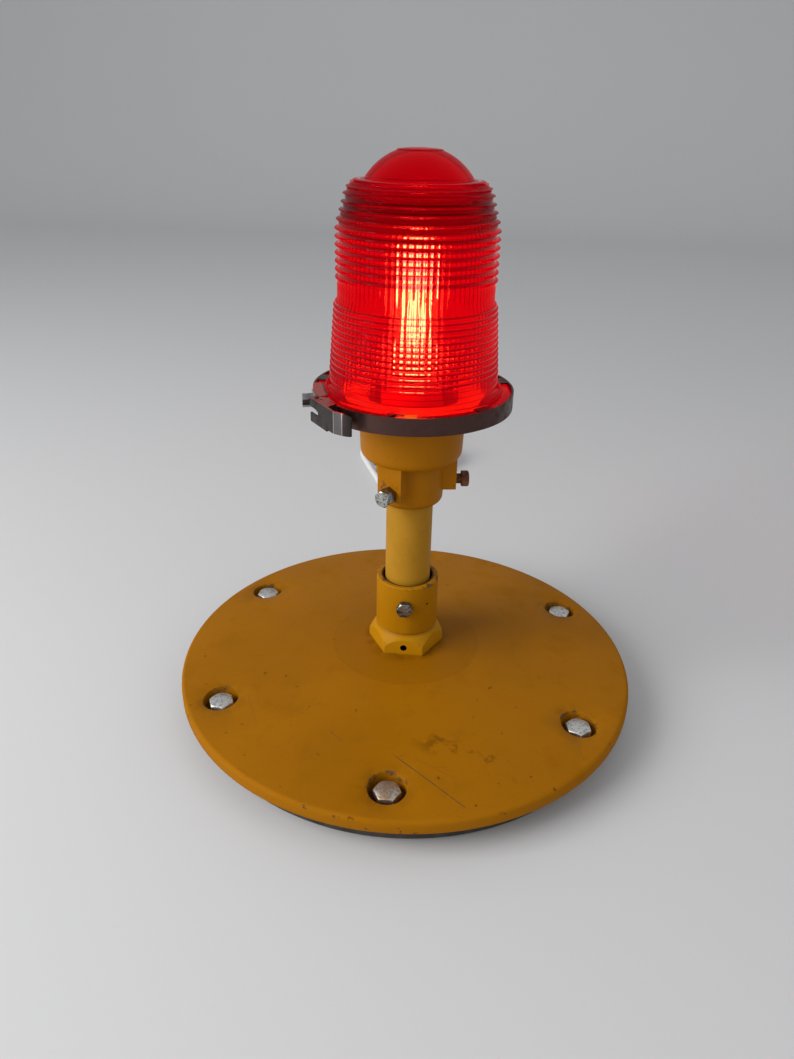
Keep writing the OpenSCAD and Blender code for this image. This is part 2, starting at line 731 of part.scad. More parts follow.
module lens() {
    wall = 3;
    cap_rise = 0.6;
    foot_in_r = lens_foot_r - 5;
    inner_dome_r = dome_r - wall;
    inner_foot_z = dome_z + 13.5;
    color("red", 0.6) difference() {
        rotate_extrude() polygon(concat(
            [[foot_in_r, lens_z], [lens_flange_r, lens_z], [lens_flange_r, lens_z + lens_flange_t - 0.4],
             [lens_flange_r - 0.4, lens_z + lens_flange_t], [bead_r + 0.8, lens_z + lens_flange_t],
             [bead_r, lens_z + lens_flange_t + 0.8], [bead_r - 0.2, lens_z + lens_flange_t + 2.6],
             [lens_foot_r, lens_z + lens_flange_t + 5]],
            [for (i = [0 : lower_rings - 1]) each glass_ring(lower_ring_r(i), lower_z + (i + 0.5) * lower_pitch,
                lower_pitch, lower_depth)],
            [[plain_band_r, plain_z + 1.4], [plain_band_r, upper_z - 2.4]],
            [for (i = [0 : upper_rings - 1]) each glass_ring(upper_r, upper_z + i * upper_pitch, upper_pitch,
                upper_depth)],
            [for (i = [0 : len(shoulder) - 1]) each glass_ring(shoulder_ring(i)[0], shoulder_ring(i)[1],
                upper_pitch * 0.85, upper_depth)],
            arc([0, dome_z], dome_r, asin((dome_foot_z - dome_z) / dome_r), acos(dome_cap_r / dome_r), 12),
            [[dome_cap_r, cap_edge_z + cap_rise], [dome_cap_r * 0.6, cap_edge_z + cap_rise + 0.5],
             [0, cap_edge_z + cap_rise + 0.8]],
            arc([0, dome_z], inner_dome_r, 90, asin(13.5 / inner_dome_r), 10),
            [[lens_bore_r - 6.8, inner_foot_z - 6], [lens_bore_r - 3, inner_foot_z - 13],
             [lens_bore_r, upper_last_z - 4], [lens_bore_r, plain_z + 4], [lens_waist_r - 4, plain_z - 3]]));
        translate([0, 0, lens_z - cut]) sector(lug_r - 0.4, lens_flange_r + cut, lens_flange_t + 2 * cut,
            lug_az - lug_angle / 2 - 1, lug_az + lug_angle / 2 + 1);
    }
}

module at_latch() {
    rotate([0, 0, latch_az + 90]) children();
}

// Rivets through the band: two hold the bracket, one holds the catch
rivet_az = [latch_angle(7, band_out_r), latch_angle(11.5, band_out_r), fork_az + 3.5];
rivet_d = 2.4;
rivet_z = band_z + 4.4;

module rivet_holes() {
    for (az = rivet_az) radial(az, rivet_z, band_r - cut, bracket_r + cut, $radial_d = rivet_d);
}

module clamp_band() {
    color("dimgray") difference() {
        union() {
            translate([0, 0, band_z]) sector(band_r, band_out_r, band_h, split_az + 0.4, split_az + 359.6);
            for (az = lip_az) translate([0, 0, lip_z])
                sector(band_r - lip_reach + 0.8, band_r + band_t / 2, lip_t,
                    az - lip_angle / 2, az + lip_angle / 2);
            broad_lip();
        }
        rivet_holes();
    }
}

// The lip beside the latch has a straight inner edge
module broad_lip() {
    edge_r = band_r - broad_reach;
    translate([0, 0, lip_z]) difference() {
        sector(edge_r, band_r + band_t / 2, lip_t, broad_az[0], broad_az[1]);
        rotate([0, 0, broad_mid]) translate([0, -edge_r, -cut]) cube([edge_r, 2 * edge_r, lip_t + 2 * cut]);
    }
}

module latch_bracket() {
    color("gray") difference() {
        union() {
            translate([0, 0, lower_ear_z])
                sector(band_out_r, bracket_r, upper_ear_z + ear_t - lower_ear_z, split_az + 0.5, bracket_end);
            for (z = [lower_ear_z, upper_ear_z]) translate([0, 0, z]) latch_ear();
        }
        rivet_holes();
    }
}

module latch_ear() {
    linear_extrude(ear_t) difference() {
        rotate(latch_az + 90) union() {
            translate(pivot) circle(r = ear_r);
            polygon([[pivot[0] - ear_r, pivot[1]], [pivot[0] + ear_r, pivot[1]],
                [pivot[0] + ear_r + 0.8, 0.92 * pivot[1]], [pivot[0] - ear_r, 0.92 * pivot[1]]]);
        }
        circle(r = band_out_r + bracket_t / 2);
        rotate(latch_az + 90) translate(pivot) circle(r = pin_r);
    }
}

// Fork: a sheet bent outwards from a plate on the band, with an open notch for the strap
module latch_catch() {
    notch_h = strap_h + 2 * slot_clear;
    notch_r = band_out_r + 1.9;
    color("gray") difference() {
        union() {
            translate([0, 0, band_z + 0.5]) sector(band_out_r, bracket_r, band_h - 1, catch_az[0], catch_az[1]);
            rotate([0, 0, fork_az]) translate([band_out_r + 0.2, -fork_t / 2, lip_z + 0.6 - fork_h])
                cube([fork_r - band_out_r - 0.2, fork_t, fork_h]);
        }
        rotate([0, 0, fork_az]) translate([notch_r, -fork_t, latch_mid_z - notch_h / 2])
            cube([fork_r, 2 * fork_t, notch_h]);
        rivet_holes();
    }
}

module latch_rivets() {
    head_t = 0.5;
    color("silver") for (az = rivet_az) {
        radial(az, rivet_z, band_r, bracket_r, $radial_d = rivet_d);
        radial(az, rivet_z, bracket_r, bracket_r + head_t, $radial_d = rivet_d * 1.5);
    }
}

module lever_rivets() {
    color("silver") at_latch() translate(pivot) {
        translate([0, 0, upper_ear_z]) cylinder(r = pin_r, h = lever_top_z - upper_ear_z + 0.2);
        translate([0, 0, lever_top_z + 0.1]) cylinder(r = pin_r + 0.6, h = 0.6);
        translate([0, 0, lever_z - 0.2]) cylinder(r = pin_r, h = lower_ear_z + ear_t - lever_z + 0.2);
        translate([0, 0, lever_z - 0.7]) cylinder(r = pin_r + 0.6, h = 0.6);
    }
}

// Lever: a web outside the band, its finger end bent in, and a cheek above and below
lever_start = pivot[0] - 2.2;
bend_s = 21.7;
finger = [[bend_s + 1.7, 0.2], [bend_s + 6.8, 2.5], [bend_s + 9.3, 4.2], [bend_s + 10.7, 5.9]];
finger_s = finger[len(finger) - 1][0];
finger_drop = 1.3;
finger_round = 4;
module latch_lever() {
    outer = concat([[lever_start, -web_n], [bend_s, -web_n]], [for (p = finger) [p[0], p[1] - web_n]]);
    last = len(outer) - 1;
    inner = concat([outer[0] + [0, lever_t]], [for (i = [1 : last]) outer[i] + [-0.3, lever_t]]);
    color("slategray") at_latch() difference() {
        union() {
            translate([0, 0, lever_z]) linear_extrude(lever_h)
                polygon(concat(outer, [for (i = [last : -1 : 0]) inner[i]]));
            translate([0, 0, lever_z]) lever_cheek(0.5);
            translate([0, 0, lever_top_z - lever_t]) lever_cheek(3);
        }
        for (p = [pivot, link_pin_at]) translate([p[0], p[1], lever_z - cut])
            cylinder(r = pin_r + run_fit, h = lever_h + 2 * cut);
        translate([lever_start - cut, -web_n - cut, latch_mid_z - strap_h / 2 - slot_clear])
            cube([link_pin_at[0] + 2.5 - lever_start + cut, lever_t + 2 * cut, strap_h + 2 * slot_clear]);
        translate([bend_s - 6, -web_n - cut, lever_z - cut]) cube([finger_s, 2 * finger_s, finger_drop + cut]);
        translate([finger_s - finger_round, -web_n - cut, lever_top_z - finger_round]) finger_corner();
    }
}

// A cheek of the lever, which reaches in past the pin
module lever_cheek(reach_in) {
    linear_extrude(lever_t) union() {
        translate(pivot) circle(r = 2.2);
        polygon([[lever_start, -web_n], [bend_s - 6, -web_n], [bend_s - 6, lever_t - web_n],
            [bend_s - 9, link_pin_at[1] + 1.6 + reach_in], [link_pin_at[0], link_pin_at[1] + 1.6 + reach_in],
            [pivot[0], pivot[1] + 2.2], [lever_start, pivot[1]]]);
    }
}

module finger_corner() {
    wide = 2 * finger_s;
    difference() {
        cube([finger_round + cut, wide, finger_round + cut]);
        translate([0, -cut, 0]) rotate([-90, 0, 0]) cylinder(r = finger_round, h = wide + 2 * cut);
    }
}

module link_pin() {
    color("silver") at_latch() translate([link_pin_at[0], link_pin_at[1], lever_z])
        cylinder(r = pin_r, h = lever_h);
}

// Strap from the pin to the hook plate that sits behind the fork
module latch_link() {
    sleeve_h = upper_ear_z - lower_ear_z - ear_t - 1;
    hook_h = fork_h - 1.6;
    hook_in_r = band_out_r + 2.6;
    hook_y = -(fork_t / 2 + fork_gap + strap_t);
    turn = fork_az - latch_az - 90;
    strap_out = band_out_r + 3.2;
    strap_side = hook_y + strap_t / 2;
    strap_end = strap_out * [cos(turn), sin(turn)] + strap_side * [-sin(turn), cos(turn)];
    half_t = strap_t / 2;
    color("lightslategray") difference() {
        union() {
            at_latch() translate([link_pin_at[0], link_pin_at[1], latch_mid_z - sleeve_h / 2])
                cylinder(r = eye_r, h = sleeve_h);
            at_latch() translate([0, 0, latch_mid_z - strap_h / 2]) linear_extrude(strap_h) polygon([
                link_pin_at + [0, half_t], link_pin_at - [0, half_t],
                strap_end - [0, half_t], strap_end + [0, half_t]]);
            rotate([0, 0, fork_az]) translate([hook_in_r, hook_y, latch_mid_z - hook_h / 2])
                cube([fork_r - 0.3 - hook_in_r, strap_t, hook_h]);
        }
        at_latch() translate([link_pin_at[0], link_pin_at[1], lever_z]) cylinder(r = pin_r + run_fit, h = lever_h);
    }
}

// A round tube along a list of points: rings square to the way, closed at both ends
function unit(v) = v / norm(v);
function way(p, i) = unit(p[min(i + 1, len(p) - 1)] - p[max(i - 1, 0)]);
function ring(c, d, r, n, up_ref) = let (side = unit(cross(up_ref, d)), up = cross(d, side))
    [for (k = [0 : n - 1]) c + r * (cos(360 * (k + 0.5) / n) * side + sin(360 * (k + 0.5) / n) * up)];
module sweep(p, r, n, up_ref = [0, 0, 1]) {
    last = len(p) - 1;
    points = [for (i = [0 : last]) each ring(p[i], way(p, i), r, n, up_ref)];
    walls = [for (i = [0 : last - 1], k = [0 : n - 1]) let (a = i * n + k, b = i * n + (k + 1) % n)
        each [[a, a + n, b], [b, a + n, b + n]]];
    foot = [for (k = [1 : n - 2]) [0, k, k + 1]];
    head = [for (k = [1 : n - 2]) [last * n, last * n + k + 1, last * n + k]];
    polyhedron(points, concat(walls, foot, head));
}

module cord() {
    color("white") sweep(cord_route, cord_r, 10);
}

// The coil winds in on the desk and out again on top, clockwise from above
function smooth(t) = let (u = min(max(t, 0), 1)) u * u * (3 - 2 * u);
function coil_point(u) = let (r = coil_inner_r + turn_step * abs(u - coil_turns / 2), a = 180 - 360 * u)
    [coil_x + r * cos(a), coil_y + r * sin(a),
     coil_low_z + turn_step * smooth((u - coil_turns / 2 + 0.25) / 0.5)];
coil_rings = coil_turns * loop_rings;
coil_path = concat(
    [coil_start], [for (i = [0 : coil_rings]) coil_point(i / loop_rings)], [[plug_x, plug_y, coil_high_z]]);
coil_gap = min([for (i = [0 : len(coil_path) - 1], j = [i + loop_rings / 2 : len(coil_path) - 1])
    norm(coil_path[i] - coil_path[j])]) - cord_d;
coil_length = 2 * coil_lead + coil_turns * 360 / 180 * PI * (coil_outer_r + coil_inner_r) / 2;
function run_length(i) = i < 1 ? 0 : norm(cord_route[i] - cord_route[i - 1]) + run_length(i - 1);
echo(coil_gap = coil_gap, coil_length = coil_length, cord_length = coil_length + run_length(len(cord_route) - 1));

module cord_coil() {
    color("white") sweep(coil_path, cord_r, 6);
}

module coil_tie() {
    slack = 0.4;
    near_r = coil_inner_r + 0.5 * turn_step - cord_r - slack;
    far_r = coil_outer_r - 0.75 * turn_step + cord_r + slack;
    high_z = coil_high_z + cord_r + slack;
    color("black") translate([coil_x, coil_y, 0]) rotate([0, 0, -90]) difference() {
        translate([near_r - tie_t, -tie_w / 2, 0]) cube([far_r - near_r + 2 * tie_t, tie_w, high_z + tie_t]);
        translate([near_r, -tie_w / 2 - cut, tie_t]) cube([far_r - near_r, tie_w + 2 * cut, high_z - tie_t]);
    }
}

module plug_body() {
    color("white") {
        translate([plug_x, plug_y, coil_high_z]) rotate([90, 0, 0])
            cylinder(d1 = cord_d + 1, d2 = 12, h = plug_boot_l);
        translate([plug_x, plug_y - plug_boot_l, 0]) plug_block();
    }
}

module plug_block() {
    corner = 4;
    difference() {
        translate([0, 0, plug_half_h]) rotate([90, 0, 0]) linear_extrude(plug_l) {
            square([plug_w, 2 * (plug_half_h - corner)], center = true);
            square([plug_w - 2 * corner, 2 * plug_half_h], center = true);
            for (x = [-1, 1], y = [-1, 1])
                translate([x * (plug_w / 2 - corner), y * (plug_half_h - corner)]) circle(r = corner);
        }
        for (x = [-1, 1]) translate([x * (plug_w / 2 + 3.2), -plug_l / 2, -cut])
            cylinder(r = 5, h = 3 * plug_half_h);
    }
}

module plug_blades() {
    color("gold") for (x = [-1, 1])
        translate([plug_x + x * blade_gap / 2 - blade[0] / 2, plug_y - plug_boot_l - plug_l - blade[1],
            plug_half_h - blade[2] / 2]) cube(blade);
}

base_plate();
mounting_ring();
tee_nuts();
plate_bolts();
rubber_pads();
coupling();
coupling_locknut();
coupling_set_screw();
strain_relief();
lower_cord();
column();
lamp_head();
zinc_neck_screw();
neck_lock_nut();
rusty_neck_screws();
upper_cord();
cord_grommet();
socket_bracket();
socket_screws();
socket_body();
socket_shell();
socket_contact();
socket_leads();
lens_gasket();
bulb_cap();
bulb_insulator();
bulb_contact();
bulb_envelope();
bulb_stem();
bulb_filaments();
lens();
clamp_band();
latch_bracket();
latch_catch();
latch_rivets();
lever_rivets();
latch_lever();
link_pin();
latch_link();
cord();
cord_coil();
coil_tie();
plug_body();
plug_blades();
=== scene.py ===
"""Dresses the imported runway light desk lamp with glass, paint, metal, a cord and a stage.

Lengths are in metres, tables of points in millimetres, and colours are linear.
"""

import json
import math

import bmesh
import bpy
from mathutils import Matrix, Vector

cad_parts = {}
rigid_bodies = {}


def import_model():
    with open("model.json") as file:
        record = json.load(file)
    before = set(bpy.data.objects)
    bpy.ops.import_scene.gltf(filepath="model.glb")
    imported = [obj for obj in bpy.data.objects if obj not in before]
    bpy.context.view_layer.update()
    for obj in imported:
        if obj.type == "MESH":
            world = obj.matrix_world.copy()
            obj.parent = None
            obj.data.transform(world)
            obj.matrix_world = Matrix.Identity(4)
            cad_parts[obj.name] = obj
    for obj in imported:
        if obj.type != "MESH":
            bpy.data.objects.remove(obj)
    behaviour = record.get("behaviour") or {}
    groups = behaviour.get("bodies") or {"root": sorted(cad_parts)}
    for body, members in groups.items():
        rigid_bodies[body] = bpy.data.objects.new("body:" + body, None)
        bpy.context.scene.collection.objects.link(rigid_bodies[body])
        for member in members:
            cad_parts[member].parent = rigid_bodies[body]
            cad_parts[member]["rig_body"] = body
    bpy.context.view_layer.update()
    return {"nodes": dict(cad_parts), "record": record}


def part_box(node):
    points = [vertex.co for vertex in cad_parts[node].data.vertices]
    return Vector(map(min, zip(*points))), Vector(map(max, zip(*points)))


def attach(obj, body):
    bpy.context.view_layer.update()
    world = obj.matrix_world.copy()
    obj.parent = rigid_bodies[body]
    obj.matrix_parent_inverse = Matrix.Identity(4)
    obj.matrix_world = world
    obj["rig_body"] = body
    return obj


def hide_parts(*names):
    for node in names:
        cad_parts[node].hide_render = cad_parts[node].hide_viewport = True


bl_info = {
    "name": "Runway light desk lamp",
    "version": (1, 0, 0),
    "blender": (4, 5, 0),
    "location": "3D View > Sidebar > Lamp",
    "description": "Builds the visual pieces of a runway light desk lamp on its packed solids",
    "category": "Object",
}

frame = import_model()
MM = 0.001
TURN = 2 * math.pi
MERGE = 0.002 * MM  # vertices nearer than this are one


def way(bearing):
    """A unit direction on the desk, at an angle in degrees from x."""
    return math.cos(math.radians(bearing)), math.sin(math.radians(bearing))


# Places on the solids

BOLT_CIRCLE = 130.175 * MM
WELL_RADIUS = 11.2 * MM
DISC_RADIUS = 49.6 * MM  # edge of the flat top round the coupling, darkened as painted shade
GROOVE_HEIGHT = 14.7 * MM  # over the plate
WEEP_HEIGHT = 5.6 * MM  # weep hole, over the plate
LIP_WAY = way(-164.0)  # from the axis to the band's broad lip
LEVER_WAY = way(-54.0)  # along the latch lever

# The lens, over its foot

RINGS_FOOT = 14.6 * MM
LOWER_RADII = 49.1 * MM, 46.4 * MM  # tips of the lowest and highest lower ring
PLAIN_HEIGHT = 13.4 * MM  # from the lower rings to the first upper tip
UPPER_RADIUS = 45.1 * MM
LOWER_TIP, UPPER_TIP = 0.28 * MM, 0.22 * MM  # how round they are
# Rise and inset of each closing ring
CLOSING_RINGS = (4.5, 0.9), (4.6, 1.5), (4.0, 1.1), (4.2, 1.0), (3.4, 1.7), (3.1, 3.7)
DOME_RADIUS, DOME_SEAT = 35.0 * MM, 30.7 * MM
CAP_RADIUS = 12.4 * MM
BORE = 40.6 * MM
GLASS_BEND = 1.30  # index of refraction

# Colours of marks and small pieces

# Painted shade inside the plate's wells
WELL_SHADE = (0.022, 0.012, 0.004)
COUPLING_YELLOW = (0.40, 0.165, 0.0015)
# Paler yellow painted on the coupling's hexagon as light
HEXAGON_PAINTED_LIGHT = (0.51, 0.235, 0.003)
# Painted shade in the weep hole
WEEP_HOLE_SHADE = (0.006, 0.004, 0.003)
PIT_BROWN = (0.02, 0.01, 0.004)
# Painted shade inside the coupling's bore
BORE_SHADE = (0.045, 0.022, 0.008)
BOLT_DIRT = (0.46, 0.27, 0.12)
BROWN_STEEL = (0.20, 0.14, 0.09)
BARE_STEEL = (0.30, 0.19, 0.09)
# Painted red reflection of the lens on the band's broad lip
LIP_RED_REFLECTION = (0.70, 0.085, 0.05)
LIP_EDGE = (0.03, 0.02, 0.02)
# Painted red reflection on the latch lever's top
LEVER_RED_REFLECTION = (0.50, 0.10, 0.08)
DUST_GREY = (0.16, 0.15, 0.14)
RUBBER_BLACK = (0.02, 0.02, 0.02)
CAP_BLACK = (0.01, 0.01, 0.01)
PORCELAIN = (0.78, 0.76, 0.70)
WOOD_DARK, WOOD_PALE = (0.018, 0.014, 0.011), (0.05, 0.038, 0.028)
# Painted glow of the lens glass, standing in for the bulb's light scattered in it
GLOW_WALL, GLOW_FOOT = (0.58, 0.0004, 0.009), (0.56, 0.001, 0.007)
GLOW_CROWN, GLOW_DOME = (0.10, 0.0001, 0.003), (0.27, 0.0002, 0.006)
# Painted shade in the lens's ring hollows
HOLLOW_SHADE_RED = (0.12, 0.001, 0.003)
GLINT_RED = (0.10, 0.01, 0.01)
SHADOW_RED = (0.80, 0.05, 0.04)
BULB_GREY, BULB_GLOW = (0.3, 0.3, 0.3), (1.0, 0.22, 0.10)
STEM_CLEAR = (0.95, 0.95, 0.95)
BLACK = (0.0, 0.0, 0.0)

# Worn marks on the plate

SCRATCHES = (  # start and end, width, depth
    ((0.5, -106.2), (43.4, -138.3), 0.30, 1.0),
    ((14.0, -108.0), (40.0, -121.0), 0.16, 0.45),
    ((-96.0, -62.0), (-84.0, -88.0), 0.16, 0.40),
    ((-38.0, -92.0), (-30.0, -99.0), 0.35, 0.50),
    ((74.0, -30.0), (92.0, -52.0), 0.15, 0.35),
    ((-60.0, 44.0), (-34.0, 62.0), 0.18, 0.35),
    ((60.0, 70.0), (84.0, 58.0), 0.16, 0.40),
)
WORN_PATCH = (0.953, -0.304), (45.7 * MM, -102.0 * MM)  # its way and its middle

# The stage

CAMERA_PLACE = (0.027412, -0.456415, 0.360110)
CAMERA_AXES = (  # right, up and back
    (0.99601807, 0.08691415, 0.01984788),
    (-0.05751503, 0.45633727, 0.88794612),
    (0.06811775, -0.88555193, 0.45951904),
)
LAMPS = (("key", 1.1, (-1.25, -0.75, 0.95)), ("fill", 1.2, (1.3, -0.9, 1.1)))  # size, place
LAMP_AIM = Vector((0, 0, 0.15))
SKY_TINT = (0.95, 0.97, 1.0, 1.0)
FLOOR_HALF, FLOOR_FORWARD = 3.0, 0.6
SWEEP_RADIUS, WALL_HEIGHT = 0.8, 2.4


def top_z(node):
    """Greatest height of a CAD node."""
    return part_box(node)[1].z


def foot_z(node):
    """Least height of a CAD node."""
    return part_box(node)[0].z


# Settings


def setting(kind, name, description, default, **limits):
    return kind(name=name, description=description, default=default, **limits)


def length(*given):
    return setting(bpy.props.FloatProperty, *given, min=0.0, unit="LENGTH", precision=5)


def number(*given, **limits):
    return setting(bpy.props.FloatProperty, *given, **{"min": 0.0, **limits})


def count(*given, **limits):
    return setting(bpy.props.IntProperty, *given, **limits)


def colour(*given):
    limits = {"size": 3, "min": 0.0, "max": 1.0, "subtype": "COLOR"}
    return setting(bpy.props.FloatVectorProperty, *given, **limits)


class GlassSettings(bpy.types.PropertyGroup):
    tint: colour("Glass colour", "Light that has crossed the lens wall", (0.72, 0.036, 0.022))
    deep: colour("Crown colour", "The same for upper rings and dome", (0.36, 0.003, 0.008))
    # the glass's glow is painted light, for the bulb's light scattered in it
    glow: number("Inner glow", "How strongly the glass itself glows", 1.05)
    clearness: number("Clearness", "Share without reflections", 0.70, max=1.0)
    roughness: number("Roughness", "Roughness of the pressed glass", 0.0, max=1.0)
    wall: length("Wall", "Thickness over the bulb", 3.0 * MM)
    flutes: count("Flutes", "Upright flutes inside the lens", 84, min=8)
    flute_depth: length("Flute depth", "Height of the flutes", 0.57 * MM)
    lower_rings: count("Lower rings", "Rings under the plain band", 12, min=2)
    lower_pitch: length("Lower pitch", "Spacing of the lower rings", 3.25 * MM)
    lower_depth: length("Lower depth", "Depth of the lower rings", 1.2 * MM)
    upper_rings: count("Upper rings", "Straight rings over the plain band", 7, min=1)
    upper_pitch: length("Upper pitch", "Spacing of the upper rings", 4.23 * MM)
    upper_depth: length("Upper depth", "Depth of the upper rings", 2.4 * MM)


class PaintSettings(bpy.types.PropertyGroup):
    yellow: colour("Yellow", "Enamel on plate and head", (0.325, 0.119, 0.0006))
    cream: colour("Faded yellow", "Enamel on the column", (0.42, 0.205, 0.016))
    under: colour("Undercoat", "What shows where enamel has worn off", (0.055, 0.040, 0.028))
    gloss: number("Roughness", "Roughness of clean enamel", 0.42, max=1.0)
    wear: number("Wear", "How much scratches and chips show", 1.0, max=2.0)


class MetalSettings(bpy.types.PropertyGroup):
    zinc: colour("Zinc", "Plating of bolts, screws and nuts", (0.46, 0.46, 0.44))
    band: colour("Band steel", "Tarnished steel of the clamp band", (0.085, 0.046, 0.040))
    latch: colour("Latch steel", "Worn steel of the latch", (0.115, 0.092, 0.086))
    # this bright steel is also painted as highlights along the latch lever's bends
    bright: colour("Bright steel", "Rubbed steel of fork and bends", (0.50, 0.50, 0.52))
    rust: colour("Rust", "Rust on the old screws", (0.115, 0.042, 0.014))
    brass: colour("Brass", "Socket shell, contacts and plug blades", (0.62, 0.43, 0.17))


class BulbSettings(bpy.types.PropertyGroup):
    light: colour("Light", "Colour of the lit bulb", (1.0, 0.92, 0.58))
    haze: number("Haze", "Radiance of the bulb's own glass", 1.0)
    filament: number("Filament strength", "Radiance of the strips inside", 115.0)
    gather: number("Strip ring", "Share of the strips' radius kept", 0.76, min=0.5, max=1.0)
    twist: number("Strip turn", "Turn of the strips in degrees", -20.0, min=-60.0, max=60.0)


class CordSettings(bpy.types.PropertyGroup):
    white: colour("Sheath", "Colour of cord and plug", (0.80, 0.80, 0.78))
    diameter: length("Diameter", "Thickness of the cord", 6.0 * MM)
    turns: number("Turns", "Turns of cord in the coil", 6.5, min=1.0)
    outer: length("Coil radius", "Radius of the coil's outermost turn", 46.0 * MM)


class StageSettings(bpy.types.PropertyGroup):
    floor: colour("Floor", "Colour of floor and backdrop", (0.66, 0.66, 0.66))
    key: number("Key light", "Power of the lamp on the left", 26.0, subtype="POWER")
    fill: number("Fill light", "Power of the lamp on the right", 2.0, subtype="POWER")
    sky: number("Sky", "Strength of the even light from all round", 0.46)
    lens: number("Lens", "Focal length of the camera in millimetres", 27.1, min=1.0)


# Shader maths


def both_ways(operation):
    """An arithmetic operator of Wire and its reflected form."""
    return (
        lambda self, other: self.math(operation, self, other),
        lambda self, other: self.math(operation, other, self),
    )


class Wire:
    """A shader socket to reckon with. Each operation adds a Math node."""

    def __init__(self, sheet, socket):
        self.sheet, self.socket = sheet, socket

    def math(self, operation, *values):
        return self.sheet.add("ShaderNodeMath", {"operation": operation}, dict(enumerate(values)))

    __add__, __radd__ = both_ways("ADD")
    __sub__, __rsub__ = both_ways("SUBTRACT")
    __mul__, __rmul__ = both_ways("MULTIPLY")
    __truediv__, __rtruediv__ = both_ways("DIVIDE")
    __pow__, __rpow__ = both_ways("POWER")
    __mod__, __rmod__ = both_ways("FLOORED_MODULO")

    def __gt__(self, other):
        return self.math("GREATER_THAN", self, other)

    def __lt__(self, other):
        return self.math("LESS_THAN", self, other)

    def __abs__(self):
        return self.math("ABSOLUTE", self)

    def most(self, other):
        return self.math("MAXIMUM", self, other)


def distance(one, other):
    """Length of a line from its two sides."""
    return ((one * one) + (other * other)) ** 0.5


def ahead_aside(x, y, run, place=(0.0, 0.0)):
    """How far a point lies ahead of a place along a unit direction, and how far aside."""
    east, north = x - place[0], y - place[1]
    return east * run[0] + north * run[1], east * run[1] - north * run[0]


class Sheet:
    """The node tree of one material."""

    def __init__(self, name):
        self.material = bpy.data.materials.new(name)
        self.material.use_nodes = True
        self.tree = self.material.node_tree
        self.tree.nodes.clear()
        self.place = self.add("ShaderNodeTexCoord", out="Object")

    def add(self, kind, settings=None, inputs=None, out=0):
        """Adds a node, sets it up, fills its sockets and gives the output named out."""
        node = self.tree.nodes.new(kind)
        for key, value in (settings or {}).items():
            setattr(node, key, value)
        for key, value in (inputs or {}).items():
            socket = node.inputs[key]
            if isinstance(value, Wire):
                self.tree.links.new(value.socket, socket)
            elif socket.type == "RGBA" and len(value) == 3:
                socket.default_value = (*value, 1.0)
            else:
                socket.default_value = value
        return Wire(self, node.outputs[out]) if out is not None else node

    def axes(self):
        """The x, y and z of the point being shaded."""
        return [self.add("ShaderNodeSeparateXYZ", inputs={0: self.place}, out=i) for i in range(3)]

    def noise(self, scale, detail=3.0, roughness=0.55, stretch=None):
        place = self.place
        if stretch:
            place = self.add("ShaderNodeMapping", inputs={"Vector": place, "Scale": stretch})
        return self.add(
            "ShaderNodeTexNoise",
            inputs={"Vector": place, "Scale": scale, "Detail": detail, "Roughness": roughness},
        )

    def between(self, value, low, high, to_low=0.0, to_high=1.0):
        """Maps low..high of a value to 0..1, or to another range, and holds it there."""
        return self.add(
            "ShaderNodeMapRange",
            {"interpolation_type": "SMOOTHSTEP", "clamp": True},
            {"Value": value, 1: low, 2: high, 3: to_low, 4: to_high},
        )

    def fade(self, value, low, high):
        """1 where a value is under low and 0 where it is over high."""
        return self.between(value, low, high, 1.0, 0.0)

    def blend(self, amount, first, second):
        """Mixes two colours."""
        settings = {"data_type": "RGBA", "clamp_factor": True}
        return self.add("ShaderNodeMix", settings, {0: amount, 6: first, 7: second}, out=2)

    def relief(self, height, distance):
        """Normals that follow a height, in metres over its whole range."""
        inputs = {"Strength": 1.0, "Distance": distance, "Height": height}
        return self.add("ShaderNodeBump", inputs=inputs)

    def principled(self, inputs):
        return self.add("ShaderNodeBsdfPrincipled", inputs=inputs)

    def finish(self, shader):
        self.add("ShaderNodeOutputMaterial", inputs={"Surface": shader}, out=None)
        return self.material

    def surface(self, inputs):
        """The material of one Principled shader."""
        return self.finish(self.principled(inputs))


def tone(shade, factor):
    """A colour made darker or paler."""
    return tuple(min(1.0, part * factor) for part in shade)


# Finishes


def faded_paint(sheet, base, gloss):
    """Faded, uneven enamel: its colour, roughness and fine skin."""
    cloud = sheet.noise(9.0, 3.0)
    patch = sheet.noise(45.0, 4.0, 0.6)
    speck = sheet.noise(420.0, 3.0, 0.65)
    grime = sheet.between(speck, 0.60, 0.74)
    shade = sheet.blend(sheet.between(cloud, 0.35, 0.65), tone(base, 0.93), tone(base, 1.07))
    shade = sheet.blend(sheet.between(patch, 0.52, 0.72) * 0.30, shade, tone(base, 0.72))
    shade = sheet.blend(grime * 0.22, shade, tone(base, 0.35))
    rough = gloss + 0.16 * sheet.between(patch, 0.40, 0.70) + 0.12 * grime
    return shade, rough, speck


def enamel(name, base, context, marks=None):
    """Worn yellow enamel. marks adds what one piece shows."""
    paint = context.scene.lamp_paint
    sheet = Sheet(name)
    shade, rough, speck = faded_paint(sheet, base, paint.gloss)
    chip_field = sheet.noise(150.0, 5.0, 0.7)
    chips = sheet.between(chip_field, 0.735, 0.75) * min(1.0, 0.8 * paint.wear)
    if marks:
        shade, rough, chips = marks(sheet, shade, rough, chips, chip_field)
    height = sheet.noise(260.0, 2.0, 0.5) * 0.35 + speck * 0.12 - chips * 0.6
    return sheet.surface({
        "Base Color": sheet.blend(chips, shade, paint.under),
        "Roughness": rough + chips * 0.3,
        "Normal": sheet.relief(height, 0.09 * MM),
        "Specular IOR Level": 0.08,
    })


